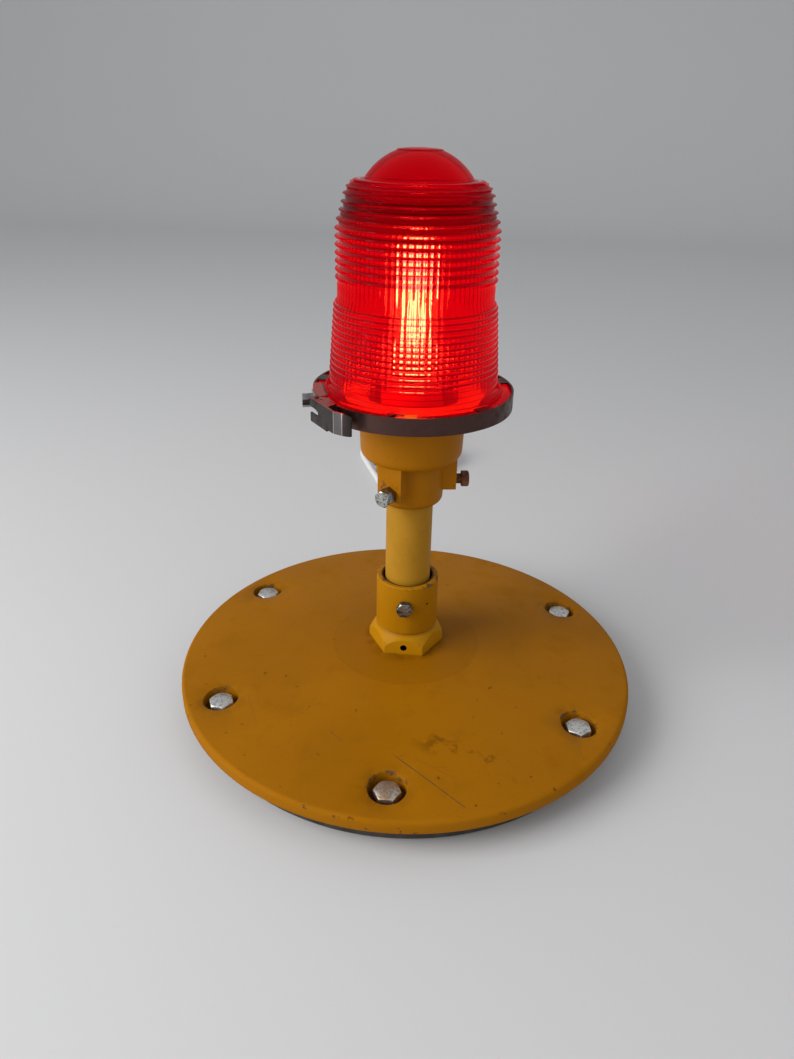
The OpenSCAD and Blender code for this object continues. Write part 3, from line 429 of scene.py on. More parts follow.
def plate_marks(sheet, shade, rough, chips, chip_field):
    """The plate's worn well edges, scratches and stains; painted shade in and round the wells, on
    the flat top round the coupling and at its foot; and painted light that makes the rim's side
    paler.
    """
    base = bpy.context.scene.lamp_paint.yellow
    x, y, _ = sheet.axes()
    away = distance(x, y)
    fold = (x.math("ARCTAN2", y, x) % (TURN / 6)) - TURN / 12
    well = distance(away * x.math("COSINE", fold) - BOLT_CIRCLE, away * x.math("SINE", fold))
    # painted shade inside the wells
    inside = sheet.fade(well, WELL_RADIUS - 0.5 * MM, WELL_RADIUS - 0.1 * MM)
    lip = sheet.fade(abs(well - WELL_RADIUS), 0.2 * MM, 1.3 * MM)
    # patchy painted shade on the plate round each well
    well_side_shade = sheet.fade(well, WELL_RADIUS, WELL_RADIUS + 9 * MM)
    # the flat top round the coupling, and the crease at its edge, darkened as painted shade
    disc = sheet.fade(away, DISC_RADIUS - 0.4 * MM, DISC_RADIUS + 0.4 * MM)
    disc_edge = sheet.fade(abs(away - DISC_RADIUS), 0.25 * MM, 0.9 * MM)
    # darker round the coupling's foot: painted shade
    foot = sheet.fade(away, 24.0 * MM, 31.0 * MM)
    # painted light: the rim's side made paler, in streaks
    rim_side_light = sheet.between(away, 150.4 * MM, 151.2 * MM)
    rim = sheet.between(away, 148.0 * MM, 151.5 * MM)
    streak = sheet.between(sheet.noise(60.0, 3.0, 0.6, (1.0, 1.0, 6.0)), 0.35, 0.65)
    ahead, aside = ahead_aside(x, y, *WORN_PATCH)
    worn = sheet.fade(abs(ahead), 20.0 * MM, 42.0 * MM)
    worn = worn * sheet.fade(abs(aside), 3.0 * MM, 12.0 * MM)
    scuffs = sheet.between(sheet.noise(55.0, 2.0, 0.5, (1.0, 14.0, 1.0)), 0.70, 0.74)
    shade = sheet.blend(inside * 0.80, shade, WELL_SHADE)
    for mask, factor in (
        (well_side_shade * 0.35 * sheet.between(sheet.noise(70.0), 0.40, 0.62), 0.42),
        (disc * 0.42, 0.80),
        (disc_edge * 0.16, 0.55),
        (foot * 0.5 * sheet.between(sheet.noise(120.0), 0.35, 0.65), 0.30),
        (rim_side_light * (0.35 + streak * 0.4), 1.10),
        (worn * sheet.between(sheet.noise(75.0, 4.0, 0.65), 0.52, 0.62) * 0.55, 0.35),
        (sheet.between(sheet.noise(130.0, 3.0, 0.6), 0.70, 0.73) * 0.6, 0.22),
        (scuffs * 0.35, 0.5),
    ):
        shade = sheet.blend(mask, shade, tone(base, factor))
    chips = chips.most(lip * sheet.between(chip_field, 0.50, 0.60) * 0.75)
    chips = chips.most(rim * sheet.between(chip_field, 0.655, 0.675))
    for start, end, width, deep in SCRATCHES:
        first, last = Vector(start) * MM, Vector(end) * MM
        ahead, aside = ahead_aside(x, y, (last - first).normalized(), first)
        span = (ahead > 0.0) * (ahead < (last - first).length)
        line = sheet.fade(abs(aside), 0.4 * width * MM, width * MM) * span
        line = line * sheet.between(sheet.noise(190.0), 0.30, 0.48)
        chips = chips.most(line * deep)
    return shade, rough + rim * 0.35 + scuffs * 0.1, chips


def coupling_marks(sheet, shade, rough, chips, chip_field):
    """Chips at the coupling's mouth and foot and a pit; painted shade in its groove, weep hole and
    bore and at its foot; a painted highlight round the weep hole; painted light on its hexagon.
    """
    base = bpy.context.scene.lamp_paint.yellow
    x, y, z = sheet.axes()
    low, high = top_z("base_plate"), top_z("coupling")
    front = y < 0.0
    mouth = sheet.between(z, high - 3.0 * MM, high - 0.3 * MM)
    # chips wear the foot, which is also darkened as painted shade where it meets the plate
    foot = sheet.fade(z, low, low + 1.6 * MM)
    # painted shade in the break groove
    groove = sheet.fade(abs(z - (low + GROOVE_HEIGHT)), 0.4 * MM, 1.4 * MM)
    # the hexagon made paler: painted light
    hexagon = sheet.between(z, low + 12.5 * MM, low + 14.0 * MM, 0.5, 0.0)
    weep = distance(x, z - (low + WEEP_HEIGHT))
    # a painted highlight round the weep hole's rim
    ring = sheet.fade(abs(weep - 2.8 * MM), 0.2 * MM, 0.7 * MM) * front
    # painted shade inside the weep hole
    hole = sheet.fade(weep, 2.1 * MM, 2.4 * MM) * front
    pit = distance(x - 14.2 * MM, z - (low + 37.0 * MM))
    # painted shade inside the bore
    bore = (distance(x, y) < 17.5 * MM) * (z > low + 1 * MM)
    for mask, paint in (
        (groove * 0.18, tone(base, 0.40)),
        (hexagon, HEXAGON_PAINTED_LIGHT),
        (foot * 0.45, tone(base, 0.30)),
        (ring * 0.5, tone(base, 1.7)),
        (hole, WEEP_HOLE_SHADE),
        (sheet.fade(pit, 0.5 * MM, 0.9 * MM) * front, PIT_BROWN),
        (bore * 0.85, BORE_SHADE),
    ):
        shade = sheet.blend(mask, shade, paint)
    worn = (mouth * 0.9).most(foot * 0.7) * sheet.between(chip_field, 0.52, 0.60)
    return shade, rough, chips.most(worn)


def head_marks(sheet, shade, rough, chips, chip_field):
    """Chips on the head's screw pads, and its shaded lower edge."""
    x, y, z = sheet.axes()
    away, low = distance(x, y), foot_z("lamp_head")
    pads = (away > 27.2 * MM) * (away < 28.4 * MM) * (z < top_z("column"))
    chips = chips.most(pads * sheet.between(chip_field, 0.52, 0.60) * 0.8)
    dark = tone(bpy.context.scene.lamp_paint.yellow, 0.4)
    return sheet.blend(sheet.fade(z, low, low + 3 * MM) * 0.35, shade, dark), rough, chips


def metal(name, base, rough=0.34, tarnish=0.35, dark=0.35, pits=0.0, marks=None):
    """Worn metal: patchy tarnish, fine scratches and pits. marks adds what one piece shows."""
    sheet = Sheet(name)
    stain = sheet.between(sheet.noise(160.0, 4.0, 0.6), 0.42, 0.68)
    grain = sheet.noise(900.0, 3.0, 0.6)
    pit = sheet.between(sheet.noise(640.0, 2.0, 0.5), 0.53, 0.60) * pits
    shade = sheet.blend(stain * tarnish, base, tone(base, dark))
    shade = sheet.blend(sheet.between(grain, 0.56, 0.70) * 0.25, shade, tone(base, 1.5))
    shade = sheet.blend(pit, shade, tone(base, 0.20))
    coarse = rough + stain * 0.22 + grain * 0.10
    if marks:
        shade, coarse = marks(sheet, shade, coarse, stain)
    return sheet.surface({
        "Base Color": shade,
        "Metallic": 1.0,
        "Roughness": coarse,
        "Normal": sheet.relief(grain * 0.2 - pit, 0.12 * MM),
    })


def bolt_marks(sheet, shade, coarse, stain):
    """Brown dirt on the front bolt."""
    front = sheet.fade(sheet.axes()[1], -0.90 * BOLT_CIRCLE, -0.85 * BOLT_CIRCLE)
    return sheet.blend(front * (0.35 + stain * 0.45), shade, BOLT_DIRT), coarse


def band_marks(sheet, shade, coarse, stain):
    """The broad lip's top, reddened as a painted reflection of the lens, and the dark line along
    its inner edge.
    """
    x, y, z = sheet.axes()
    reach, aside = ahead_aside(x, y, LIP_WAY)
    on_top = z > top_z("clamp_band") - 0.7 * MM
    # the lip's top gets a painted red reflection
    lip = (reach > 51.0 * MM) * (abs(aside) < 13.2 * MM) * on_top
    shade = sheet.blend(lip, shade, LIP_RED_REFLECTION)
    return sheet.blend(lip * (reach < 53.0 * MM), shade, LIP_EDGE), coarse - lip * 0.24


def lever_marks(sheet, shade, coarse, stain):
    """The lever's top, reddened as a painted reflection, its paler finger end, and painted
    highlights along its bends.
    """
    bright = bpy.context.scene.lamp_metal.bright
    x, y, z = sheet.axes()
    along, _ = ahead_aside(x, y, LEVER_WAY)
    finger = sheet.between(along, 22.8 * MM, 23.4 * MM) * sheet.fade(along, 28.2 * MM, 28.8 * MM)
    shade = sheet.blend(finger * 0.16, shade, bright)
    # painted highlights along the lever's two bends
    for bend in (23.5 * MM, 28.7 * MM):
        line = sheet.fade(abs(along - bend), 0.10 * MM, 0.35 * MM)
        shade = sheet.blend(line * 0.5, shade, bright)
    # painted red reflection on the lever's top
    top = z > top_z("latch_lever") - 0.25 * MM
    return sheet.blend(top, shade, LEVER_RED_REFLECTION), coarse - top * 0.18


def rusty(name, context):
    """Old screws: brown rust over what is left of the steel."""
    base = context.scene.lamp_metal.rust
    sheet = Sheet(name)
    crust = sheet.noise(520.0, 5.0, 0.7)
    bare = sheet.between(crust, 0.60, 0.70)
    shade = sheet.blend(sheet.between(crust, 0.35, 0.60), tone(base, 0.55), tone(base, 1.6))
    return sheet.surface({
        "Base Color": sheet.blend(bare * 0.5, shade, BARE_STEEL),
        "Metallic": bare * 0.7,
        "Roughness": 0.85 - bare * 0.35,
        "Normal": sheet.relief(crust, 0.25 * MM),
    })


def moulded(name, base, rough, skin=0.04 * MM):
    """Moulded plastic, rubber or porcelain with a fine skin and a little dust."""
    sheet = Sheet(name)
    dust = sheet.between(sheet.noise(70.0, 4.0, 0.6), 0.45, 0.75)
    dusty = tone(base, 0.6) if base[0] > 0.3 else DUST_GREY
    return sheet.surface({
        "Base Color": sheet.blend(dust * 0.10, base, dusty),
        "Roughness": rough + dust * 0.15,
        "Normal": sheet.relief(sheet.noise(1400.0, 2.0, 0.5), skin),
    })


def dark_wood(name):
    """The stained ring under the plate."""
    sheet = Sheet(name)
    grain = sheet.noise(30.0, 5.0, 0.6, (1.0, 9.0, 1.0))
    shade = sheet.blend(sheet.between(grain, 0.35, 0.65), WOOD_DARK, WOOD_PALE)
    relief = sheet.relief(grain, 0.2 * MM)
    return sheet.surface({"Base Color": shade, "Roughness": 0.62, "Normal": relief})


def ring_hollow_shade(sheet, glass):
    """Where painted shade falls: the hollows between rings and the fine steps of the lens's foot.
    """
    x, y, z = sheet.axes()
    height, away = z - foot_z("lens"), distance(x, y)
    # Radii of the tips: the lower rings taper and the upper ones close in
    lower_tip = 50.3 * MM - 0.0755 * height
    closing = ((height - 92.4 * MM) / (23.8 * MM)).most(0.0)
    upper_tip = UPPER_RADIUS - 6.0 * MM * closing - 3.9 * MM * (closing**9.0)
    upper = height > 54 * MM
    upper_drop = (upper_tip - away) / glass.upper_depth * upper
    drop = upper_drop + (lower_tip - away) / glass.lower_depth * (1.0 - upper)
    rings = (height > 15 * MM) * (height < 118 * MM) * (drop < 1.3)
    # The steps go on with the lower rings' pitch
    rise, half = height - RINGS_FOOT, glass.lower_pitch / 2
    step = abs(((rise + half) % glass.lower_pitch) - half)
    skirt = (away > 46.5 * MM) * (rise < 0.6 * MM) * (rise > -8.2 * MM)
    steps = sheet.between(step, 0.15 * MM, 0.55 * MM, 0.8, 0.0) * skirt
    return (sheet.between(drop, 0.50, 0.88) * rings).most(steps)


def red_glass(name, context):
    """Red glass that refracts, with a painted glow for the bulb's light scattered in it, deeper
    red in its crown, and painted shade in its hollows.
    """
    glass = context.scene.lamp_glass
    sheet = Sheet(name)
    # painted shade in the ring hollows, which also dims the glow and the clear share there
    hollow = ring_hollow_shade(sheet, glass)
    height = sheet.axes()[2] - foot_z("lens")
    foot = sheet.fade(height, 2 * MM, 20 * MM)
    crown = sheet.between(height, 84 * MM, 99 * MM)
    dome = sheet.between(height, 108 * MM, 117 * MM)
    dust = sheet.between(sheet.noise(310.0, 4.0, 0.65), 0.60, 0.80)
    shade = sheet.blend(crown, glass.tint, glass.deep)
    # painted glow, varied from the foot up to the dome
    gleam = sheet.blend(foot, GLOW_WALL, GLOW_FOOT)
    gleam = sheet.blend(crown, gleam, GLOW_CROWN)
    gleam = sheet.blend(dome, gleam, GLOW_DOME)
    body = sheet.principled({
        "Base Color": sheet.blend(hollow, shade, HOLLOW_SHADE_RED),
        "Transmission Weight": 1.0,
        "IOR": GLASS_BEND,
        "Specular Tint": GLINT_RED,
        "Roughness": glass.roughness + dust * 0.03,
        "Normal": sheet.relief(sheet.noise(90.0, 2.0, 0.5), 0.02 * MM),
        "Emission Color": sheet.blend(hollow * 0.8, gleam, BLACK),
        "Emission Strength": glass.glow,
    })
    seen = tuple(part**0.5 for part in glass.tint)
    bent = {"Color": seen, "Roughness": 0.0, "IOR": GLASS_BEND}
    through = sheet.add("ShaderNodeBsdfRefraction", inputs=bent)
    share = (1.0 - hollow) * (glass.clearness * (1.0 - 0.2 * crown))
    body = sheet.add("ShaderNodeMixShader", inputs={0: share, 1: body, 2: through})
    clear = sheet.add("ShaderNodeBsdfTransparent", inputs={"Color": SHADOW_RED})
    shadow = sheet.add("ShaderNodeLightPath", out="Is Shadow Ray")
    return sheet.finish(sheet.add("ShaderNodeMixShader", inputs={0: shadow, 1: body, 2: clear}))


def hazy_glass(name, context):
    """The bulb's clear glass, which glows a little."""
    sheet = Sheet(name)
    z = sheet.axes()[2]
    low, high = top_z("bulb_cap"), top_z("bulb_envelope")
    rise = sheet.between(z, low + 2 * MM, low + 18 * MM, 0.12, 1.0)
    fall = sheet.between(z, high - 24 * MM, high, 1.0, 0.12)
    return sheet.surface({
        "Base Color": BULB_GREY,
        "Roughness": 0.25,
        "Alpha": 0.10,
        "Emission Color": sheet.blend(rise * fall, BLACK, BULB_GLOW),
        "Emission Strength": context.scene.lamp_bulb.haze,
    })


def clear_glass(name, shade):
    """Plain clear glass with a little haze."""
    sheet = Sheet(name)
    haze = sheet.between(sheet.noise(90.0), 0.4, 0.7) * 0.06
    return sheet.surface({
        "Base Color": shade, "Transmission Weight": 1.0, "IOR": 1.5, "Roughness": haze,
    })


def glowing(name, shade, strength):
    """A strip that shines."""
    sheet = Sheet(name)
    grain = sheet.between(sheet.noise(800.0), 0.4, 0.6)
    return sheet.surface({
        "Base Color": shade,
        "Roughness": 0.4,
        "Emission Color": sheet.blend(grain, tone(shade, 0.9), shade),
        "Emission Strength": strength,
    })


def sheath(name, shade):
    """The cord's smooth white sheath."""
    sheet = Sheet(name)
    dust = sheet.between(sheet.noise(60.0, 4.0), 0.45, 0.75)
    return sheet.surface({
        "Base Color": sheet.blend(dust * 0.25, shade, tone(shade, 0.62)),
        "Roughness": 0.38 + dust * 0.2,
        "Normal": sheet.relief(sheet.noise(700.0), 0.03 * MM),
    })


# Making pieces


def body_of(node):
    return frame["nodes"][node]["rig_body"]


def slot_of(node):
    parts = frame["record"]["subparts"]
    return next((part["material_slot"] for part in parts if part.get("node") == node), None)


def piece_from(bm, name, node, material, smooth):
    """Makes a bmesh an object that stands for a CAD node. smooth is in degrees."""
    mesh = bpy.data.meshes.new(name)
    bm.to_mesh(mesh)
    bm.free()
    mesh.shade_smooth()
    mesh.set_sharp_from_angle(angle=math.radians(smooth))
    mesh.materials.append(material)
    piece = bpy.data.objects.new(name, mesh)
    bpy.context.scene.collection.objects.link(piece)
    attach(piece, body_of(node))
    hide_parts(node)
    slot = slot_of(node)
    return piece


def soften(piece, width, angle, segments):
    """Rounds the edges of a piece that turn by more than an angle in degrees."""
    bevel = piece.modifiers.new("Edges", "BEVEL")
    bevel.width = width
    bevel.segments = segments
    bevel.limit_method = "ANGLE"
    bevel.angle_limit = math.radians(angle)
    bevel.harden_normals = True
    bevel.miter_outer = "MITER_ARC"


def merged(node, flat):
    """A bmesh of a CAD node, whose faces are whole where they turn by less than flat degrees."""
    bm = bmesh.new()
    bm.from_mesh(frame["nodes"][node].data)
    bmesh.ops.remove_doubles(bm, verts=bm.verts, dist=MERGE)
    bmesh.ops.dissolve_degenerate(bm, dist=MERGE, edges=bm.edges)
    bmesh.ops.dissolve_limit(
        bm, angle_limit=math.radians(flat), verts=bm.verts, edges=bm.edges,
        use_dissolve_boundaries=False,
    )
    return bm


def soft_hexagon(bm):
    """Rounds the arches where the coupling's cone meets its hexagon."""
    plate, sharp = top_z("base_plate"), math.radians(12.0)
    low, high, inner = plate + 0.3 * MM, plate + 8.0 * MM, 21.0 * MM
    hole = 3.4 * MM  # half the width round the weep hole, which stays sharp
    arches = [
        edge
        for edge in bm.edges
        if len(edge.link_faces) == 2
        and edge.calc_face_angle() > sharp
        and all(low < v.co.z < high and v.co.xy.length > inner for v in edge.verts)
        and not all(abs(v.co.x) < hole and v.co.y < 0.0 for v in edge.verts)
    ]
    bmesh.ops.bevel(
        bm, geom=arches, offset=1.2 * MM, offset_type="OFFSET", segments=4, profile=0.5,
        affect="EDGES", clamp_overlap=False, material=-1,
    )


def dressed(node, name, material, edge=0.3 * MM, smooth=32.0, segments=2, flat=0.2, first=None):
    """A softened copy of a CAD node, which stands for it. first shapes the copy's bmesh."""
    bm = merged(node, flat)
    if first:
        first(bm)
    piece = piece_from(bm, name, node, material, smooth)
    if edge:
        soften(piece, edge, smooth, segments)
    return piece


def painted(material, *nodes):
    """Gives CAD nodes that stay as they are a better material."""
    for node in nodes:
        materials = frame["nodes"][node].data.materials
        materials.clear()
        materials.append(material)


def outline(bm, points):
    """Adds the edges of an open outline, given as radius and height."""
    verts = [bm.verts.new((r, 0.0, z)) for r, z in points]
    return verts + [bm.edges.new(pair) for pair in zip(verts, verts[1:])]


def placed(points, height):
    """Points of an outline at a height, from millimetres."""
    return [(r * MM, height + z * MM) for r, z in points]


def arc(centre, radius, first, last, steps):
    """Points of an arc from angle first to last, in degrees."""
    angles = [math.radians(first + (last - first) * i / steps) for i in range(steps + 1)]
    return [(centre[0] + radius * math.cos(a), centre[1] + radius * math.sin(a)) for a in angles]


def smooth_step(t):
    t = min(max(t, 0.0), 1.0)
    return t * t * (3 - 2 * t)


# Cord, whose line is worked out in millimetres

ROUTE = [
    (-26, 168, 10), (-26, 180, 10), (-26, 192, 9.4), (-26.5, 205, 7.6), (-27, 218, 5.4),
    (-28, 231, 3.8), (-29, 245, 3.1), (-30.5, 260, 3), (-33, 275, 3), (-36.5, 289, 3),
    (-40.5, 303, 3), (-45.5, 317, 3), (-50.5, 331, 3), (-56, 346, 3), (-61.5, 361, 3),
    (-67, 375.5, 3), (-72.5, 390, 3), (-78, 405, 3), (-82, 417.5, 3), (-84, 429, 3.3),
    (-83, 440.5, 3.6), (-81.5, 451, 3.7),
]
COIL_GAP = 0.5
COIL_STEPS = 48  # points in one turn
ROUTE_STEPS = 4  # points between two of the route


def coil_points(cord):
    """Centreline of the coil, wound in on the desk and out on top, then its straight end."""
    thick, outer, half = cord.diameter / MM, cord.outer / MM, cord.turns / 2
    step = thick + COIL_GAP
    start = ROUTE[-1]
    middle = (start[0] + outer, start[1] + thick)
    inner = outer - step * half
    points = []
    for i in range(round(cord.turns * COIL_STEPS) + 1):
        wound = i / COIL_STEPS
        radius, angle = inner + step * abs(wound - half), math.pi - TURN * wound
        x, y = middle[0] + radius * math.cos(angle), middle[1] + radius * math.sin(angle)
        points.append((x, y, start[2] + step * smooth_step((wound - half + 0.25) / 0.5)))
    points.append((middle[0] + outer, start[1], start[2] + step))
    return points


def rounded_route(points):
    """Fills in a smooth line between given points."""
    ends = [points[0], *points, points[-1]]
    line = []
    for four in zip(ends, ends[1:], ends[2:], ends[3:]):
        a, b, c, d = (Vector(point) for point in four)
        for i in range(ROUTE_STEPS):
            t = i / ROUTE_STEPS
            square, cube = 2 * a - 5 * b + 4 * c - d, 3 * b - a - 3 * c + d
            line.append(tuple(0.5 * (2 * b + (c - a) * t + square * t * t + cube * t**3)))
    return line + [points[-1]]


class LAMP_OT_cord(bpy.types.Operator):
    """Lays the mains cord with its coil, tie and plug, and its strain relief at the ring"""

    bl_idname = "lamp.cord"
    bl_label = "Cord and plug"

    def execute(self, context):
        cord = context.scene.lamp_cord
        line = rounded_route(ROUTE) + coil_points(cord)
        curve = bpy.data.curves.new("mains_cord", "CURVE")
        curve.dimensions = "3D"
        curve.bevel_depth = cord.diameter / 2
        curve.bevel_resolution = 3
        curve.use_fill_caps = True
        spline = curve.splines.new("POLY")
        spline.points.add(len(line) - 1)
        for point, place in zip(spline.points, line):
            point.co = (*(v * MM for v in place), 1.0)
        spline.use_smooth = True
        flex = bpy.data.objects.new("mains_cord", curve)
        context.scene.collection.objects.link(flex)
        white = sheath("white_sheath", cord.white)
        curve.materials.append(white)
        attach(flex, "base")
        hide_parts("cord", "cord_coil")
        slot_of("cord")
        plastic = moulded("white_moulding", cord.white, 0.42)
        rubber = moulded("tie_black", RUBBER_BLACK, 0.6)
        brass = metal("blade_brass", context.scene.lamp_metal.brass, 0.28, 0.2)
        relief = dressed("strain_relief", "cord_relief", plastic, 0.4 * MM)
        plug = dressed("plug_body", "mains_plug", plastic, 0.8 * MM, segments=3)
        blades = dressed("plug_blades", "mains_blades", brass, 0.2 * MM)
        tie = dressed("coil_tie", "cord_tie", rubber, 0.15 * MM)
        painted(white, "lower_cord", "upper_cord")
        return {"FINISHED"}


# Base


class LAMP_OT_base(bpy.types.Operator):
    """Makes the cover plate, the ring under it, its tee nuts and its rubber pads"""

    bl_idname = "lamp.base"
    bl_label = "Base"

    def execute(self, context):
        yellow = enamel("plate_enamel", context.scene.lamp_paint.yellow, context, plate_marks)
        rubber = moulded("pad_rubber", RUBBER_BLACK, 0.75)
        zinc = metal("nut_zinc", context.scene.lamp_metal.zinc, 0.4)
        dressed("base_plate", "cover_plate", yellow, 0.3 * MM, 24.0, flat=0.01)
        dressed("mounting_ring", "wood_ring", dark_wood("stained_ring"), 0.6 * MM)
        dressed("rubber_pads", "pads", rubber, 0.3 * MM)
        dressed("tee_nuts", "ring_nuts", zinc, 0.15 * MM)
        return {"FINISHED"}


class LAMP_OT_bolts(bpy.types.Operator):
    """Makes the six bolts of the cover plate"""

    bl_idname = "lamp.bolts"
    bl_label = "Plate bolts"

    def execute(self, context):
        pale = tone(context.scene.lamp_metal.zinc, 1.75)
        zinc = metal("bolt_zinc", pale, 0.36, 0.45, dark=0.30, pits=0.45, marks=bolt_marks)
        dressed("plate_bolts", "cover_bolts", zinc, 0.35 * MM)
        return {"FINISHED"}


class LAMP_OT_coupling(bpy.types.Operator):
    """Makes the coupling, its locknut and its set screw"""

    bl_idname = "lamp.coupling"
    bl_label = "Coupling"

    def execute(self, context):
        yellow = enamel("coupling_enamel", COUPLING_YELLOW, context, coupling_marks)
        dull = tone(context.scene.lamp_metal.zinc, 0.60)
        zinc = metal("screw_zinc", dull, 0.26, 0.6, pits=0.9)
        dressed("coupling", "screwed_coupling", yellow, 0.4 * MM, 24.0, 3, first=soft_hexagon)
        dressed("coupling_set_screw", "coupling_screw", zinc, 0.25 * MM)
        dressed("coupling_locknut", "stub_nut", zinc, 0.4 * MM)
        return {"FINISHED"}


# Mast


class LAMP_OT_column(bpy.types.Operator):
    """Makes the column and the grommet at its top"""

    bl_idname = "lamp.column"
    bl_label = "Column"

    def execute(self, context):
        cream = enamel("column_enamel", context.scene.lamp_paint.cream, context)
        dressed("column", "column_tube", cream, 0.2 * MM)
        painted(moulded("grommet_rubber", RUBBER_BLACK, 0.7), "cord_grommet")
        return {"FINISHED"}


class LAMP_OT_head(bpy.types.Operator):
    """Makes the lamp head, its three neck screws and the gasket"""

    bl_idname = "lamp.head"
    bl_label = "Lamp head"

    def execute(self, context):
        pale = tone(context.scene.lamp_paint.yellow, 1.20)
        yellow = enamel("head_enamel", pale, context, head_marks)
        zinc = metal("new_zinc", tone(context.scene.lamp_metal.zinc, 0.80), 0.22, 0.35, pits=0.8)
        brown = metal("nut_steel", BROWN_STEEL, 0.35, 0.5)
        dressed("lamp_head", "head_casting", yellow, 0.5 * MM, 24.0, 3)
        dressed("zinc_neck_screw", "neck_screw", zinc, 0.25 * MM)
        dressed("neck_lock_nut", "neck_nut", brown, 0.2 * MM)
        dressed("rusty_neck_screws", "old_neck_screws", rusty("rusty_steel", context), 0.3 * MM)
        painted(moulded("gasket_rubber", RUBBER_BLACK, 0.7), "lens_gasket")
        return {"FINISHED"}


class LAMP_OT_socket(bpy.types.Operator):
    """Finishes the lamp socket, its bracket and its wires"""

    bl_idname = "lamp.socket"
    bl_label = "Socket"

    def execute(self, context):
        metals = context.scene.lamp_metal
        steel = metal("bracket_zinc", metals.zinc, 0.4)
        white = moulded("porcelain", PORCELAIN, 0.18, 0.02 * MM)
        brass = metal("socket_brass", metals.brass, 0.28, 0.25)
        dressed("socket_bracket", "socket_plate", steel, 0.15 * MM)
        painted(steel, "socket_screws")
        dressed("socket_body", "socket_porcelain", white, 0.5 * MM)
        painted(brass, "socket_shell", "socket_contact")
        painted(moulded("lead_black", RUBBER_BLACK, 0.5), "socket_leads")
        return {"FINISHED"}


def gathered(bm):
    """Stands the strips closer and turned, so that they hide each other least."""
    bulb = bpy.context.scene.lamp_bulb
    turn = Matrix.Rotation(math.radians(bulb.twist), 3, "Z")
    for vert in bm.verts:
        x, y, z = vert.co
        vert.co = turn @ Vector((x * bulb.gather, y * bulb.gather, z))


class LAMP_OT_bulb(bpy.types.Operator):
    """Makes the lit bulb"""

    bl_idname = "lamp.bulb"
    bl_label = "Bulb"

    def execute(self, context):
        bulb = context.scene.lamp_bulb
        bright = metal("cap_metal", tone(context.scene.lamp_metal.zinc, 1.4), 0.25, 0.2)
        hot = glowing("hot_strips", bulb.light, bulb.filament)
        dressed("bulb_envelope", "bulb_glass", hazy_glass("lit_envelope", context), 0.0, 40.0)
        painted(bright, "bulb_cap", "bulb_contact")
        painted(moulded("cap_glass", CAP_BLACK, 0.12), "bulb_insulator")
        painted(clear_glass("stem_glass", STEM_CLEAR), "bulb_stem")
        dressed("bulb_filaments", "bulb_strips", hot, 0.0, first=gathered)
        return {"FINISHED"}


# Lens


def ring_tip(radius, height, pitch, depth, tip):
    """One ring of the glass: a rounded tip and the hollow above it."""
    root = radius - 0.55 * depth
    return [
        (root, height - 2.2 * tip),
        *arc((radius - tip, height), tip, -70, 70, 3),
        (root, height + 2.2 * tip),
        (radius - 0.9 * depth, height + 0.34 * pitch),
        (radius - depth, height + 0.5 * pitch),
        (radius - 0.9 * depth, height + 0.66 * pitch),
    ]


def lens_outline(glass):
    """Outlines of the lens, outer from foot to axis and inner back, and the ends of its flutes."""
    low, top = foot_z("lens"), top_z("lens")
    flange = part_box("lens")[1].x
    foot = low + RINGS_FOOT
    outer = [(flange - 0.3 * MM, low), (flange, low + 0.3 * MM), (flange, low + 3.5 * MM)]
    outer += [(flange - 0.5 * MM, low + 4.0 * MM), (52.2 * MM, low + 4.0 * MM)]
    outer += arc((51.4 * MM, low + 5.0 * MM), 0.9 * MM, -20, 130, 5)
    outer += placed(((49.5, 7.4), (49.1, 9.2), (49.1, 14.4)), low)
    lowest, highest = LOWER_RADII
    for i in range(glass.lower_rings):
        radius = lowest + (highest - lowest) * i / (glass.lower_rings - 1)
        height = foot + (i + 0.5) * glass.lower_pitch
        outer += ring_tip(radius, height, glass.lower_pitch, glass.lower_depth, LOWER_TIP)
    plain = foot + glass.lower_rings * glass.lower_pitch
    upper = plain + PLAIN_HEIGHT
    outer += placed(((44.5, 0.8), (44.2, 2.0), (44.1, 5.0)), plain)
    outer += placed(((44.1, -4.0), (43.7, -2.6)), upper)
    pitch = glass.upper_pitch
    tips = [(UPPER_RADIUS, upper + i * pitch, pitch) for i in range(glass.upper_rings)]
    last_straight = tips[-1][1]
    for rise, inset in CLOSING_RINGS:
        tips.append((tips[-1][0] - inset * MM, tips[-1][1] + rise * MM, pitch * 0.85))
    for r, z, pitch in tips:
        outer += ring_tip(r, z, pitch, glass.upper_depth, UPPER_TIP)
    del outer[-4:]  # the last ring has no hollow above it
    centre = z - 1.6 * MM - math.sqrt(DOME_RADIUS**2 - DOME_SEAT**2)
    start = math.degrees(math.asin((z + 0.6 * MM - centre) / DOME_RADIUS))
    finish = math.degrees(math.acos(CAP_RADIUS / DOME_RADIUS))
    outer += arc((0, centre), DOME_RADIUS, start, finish, 22)
    cap = centre + math.sqrt(DOME_RADIUS**2 - CAP_RADIUS**2)
    outer += placed(((12.1, 0.45), (11.4, 0.7)), cap)
    outer += placed(((7.0, -0.25), (3.0, -0.05), (0.0, 0.0)), top)
    dome = DOME_RADIUS - glass.wall
    inner = arc((0, centre), dome, 90, math.degrees(math.asin(13.5 * MM / dome)), 18)
    inner += placed(((33.8, 7.5), (37.0, 1.5)), centre)
    inner += [(39.4 * MM, last_straight - 0.5 * MM), (BORE, last_straight - 4 * MM)]
    inner += [(BORE, plain + 4 * MM), (42.4 * MM, plain - 3 * MM)]
    inner += placed(((43.6, 22), (44.1, 9), (44.1, 0)), low)
    return outer, inner, (low + 14 * MM, last_straight + 6 * MM)


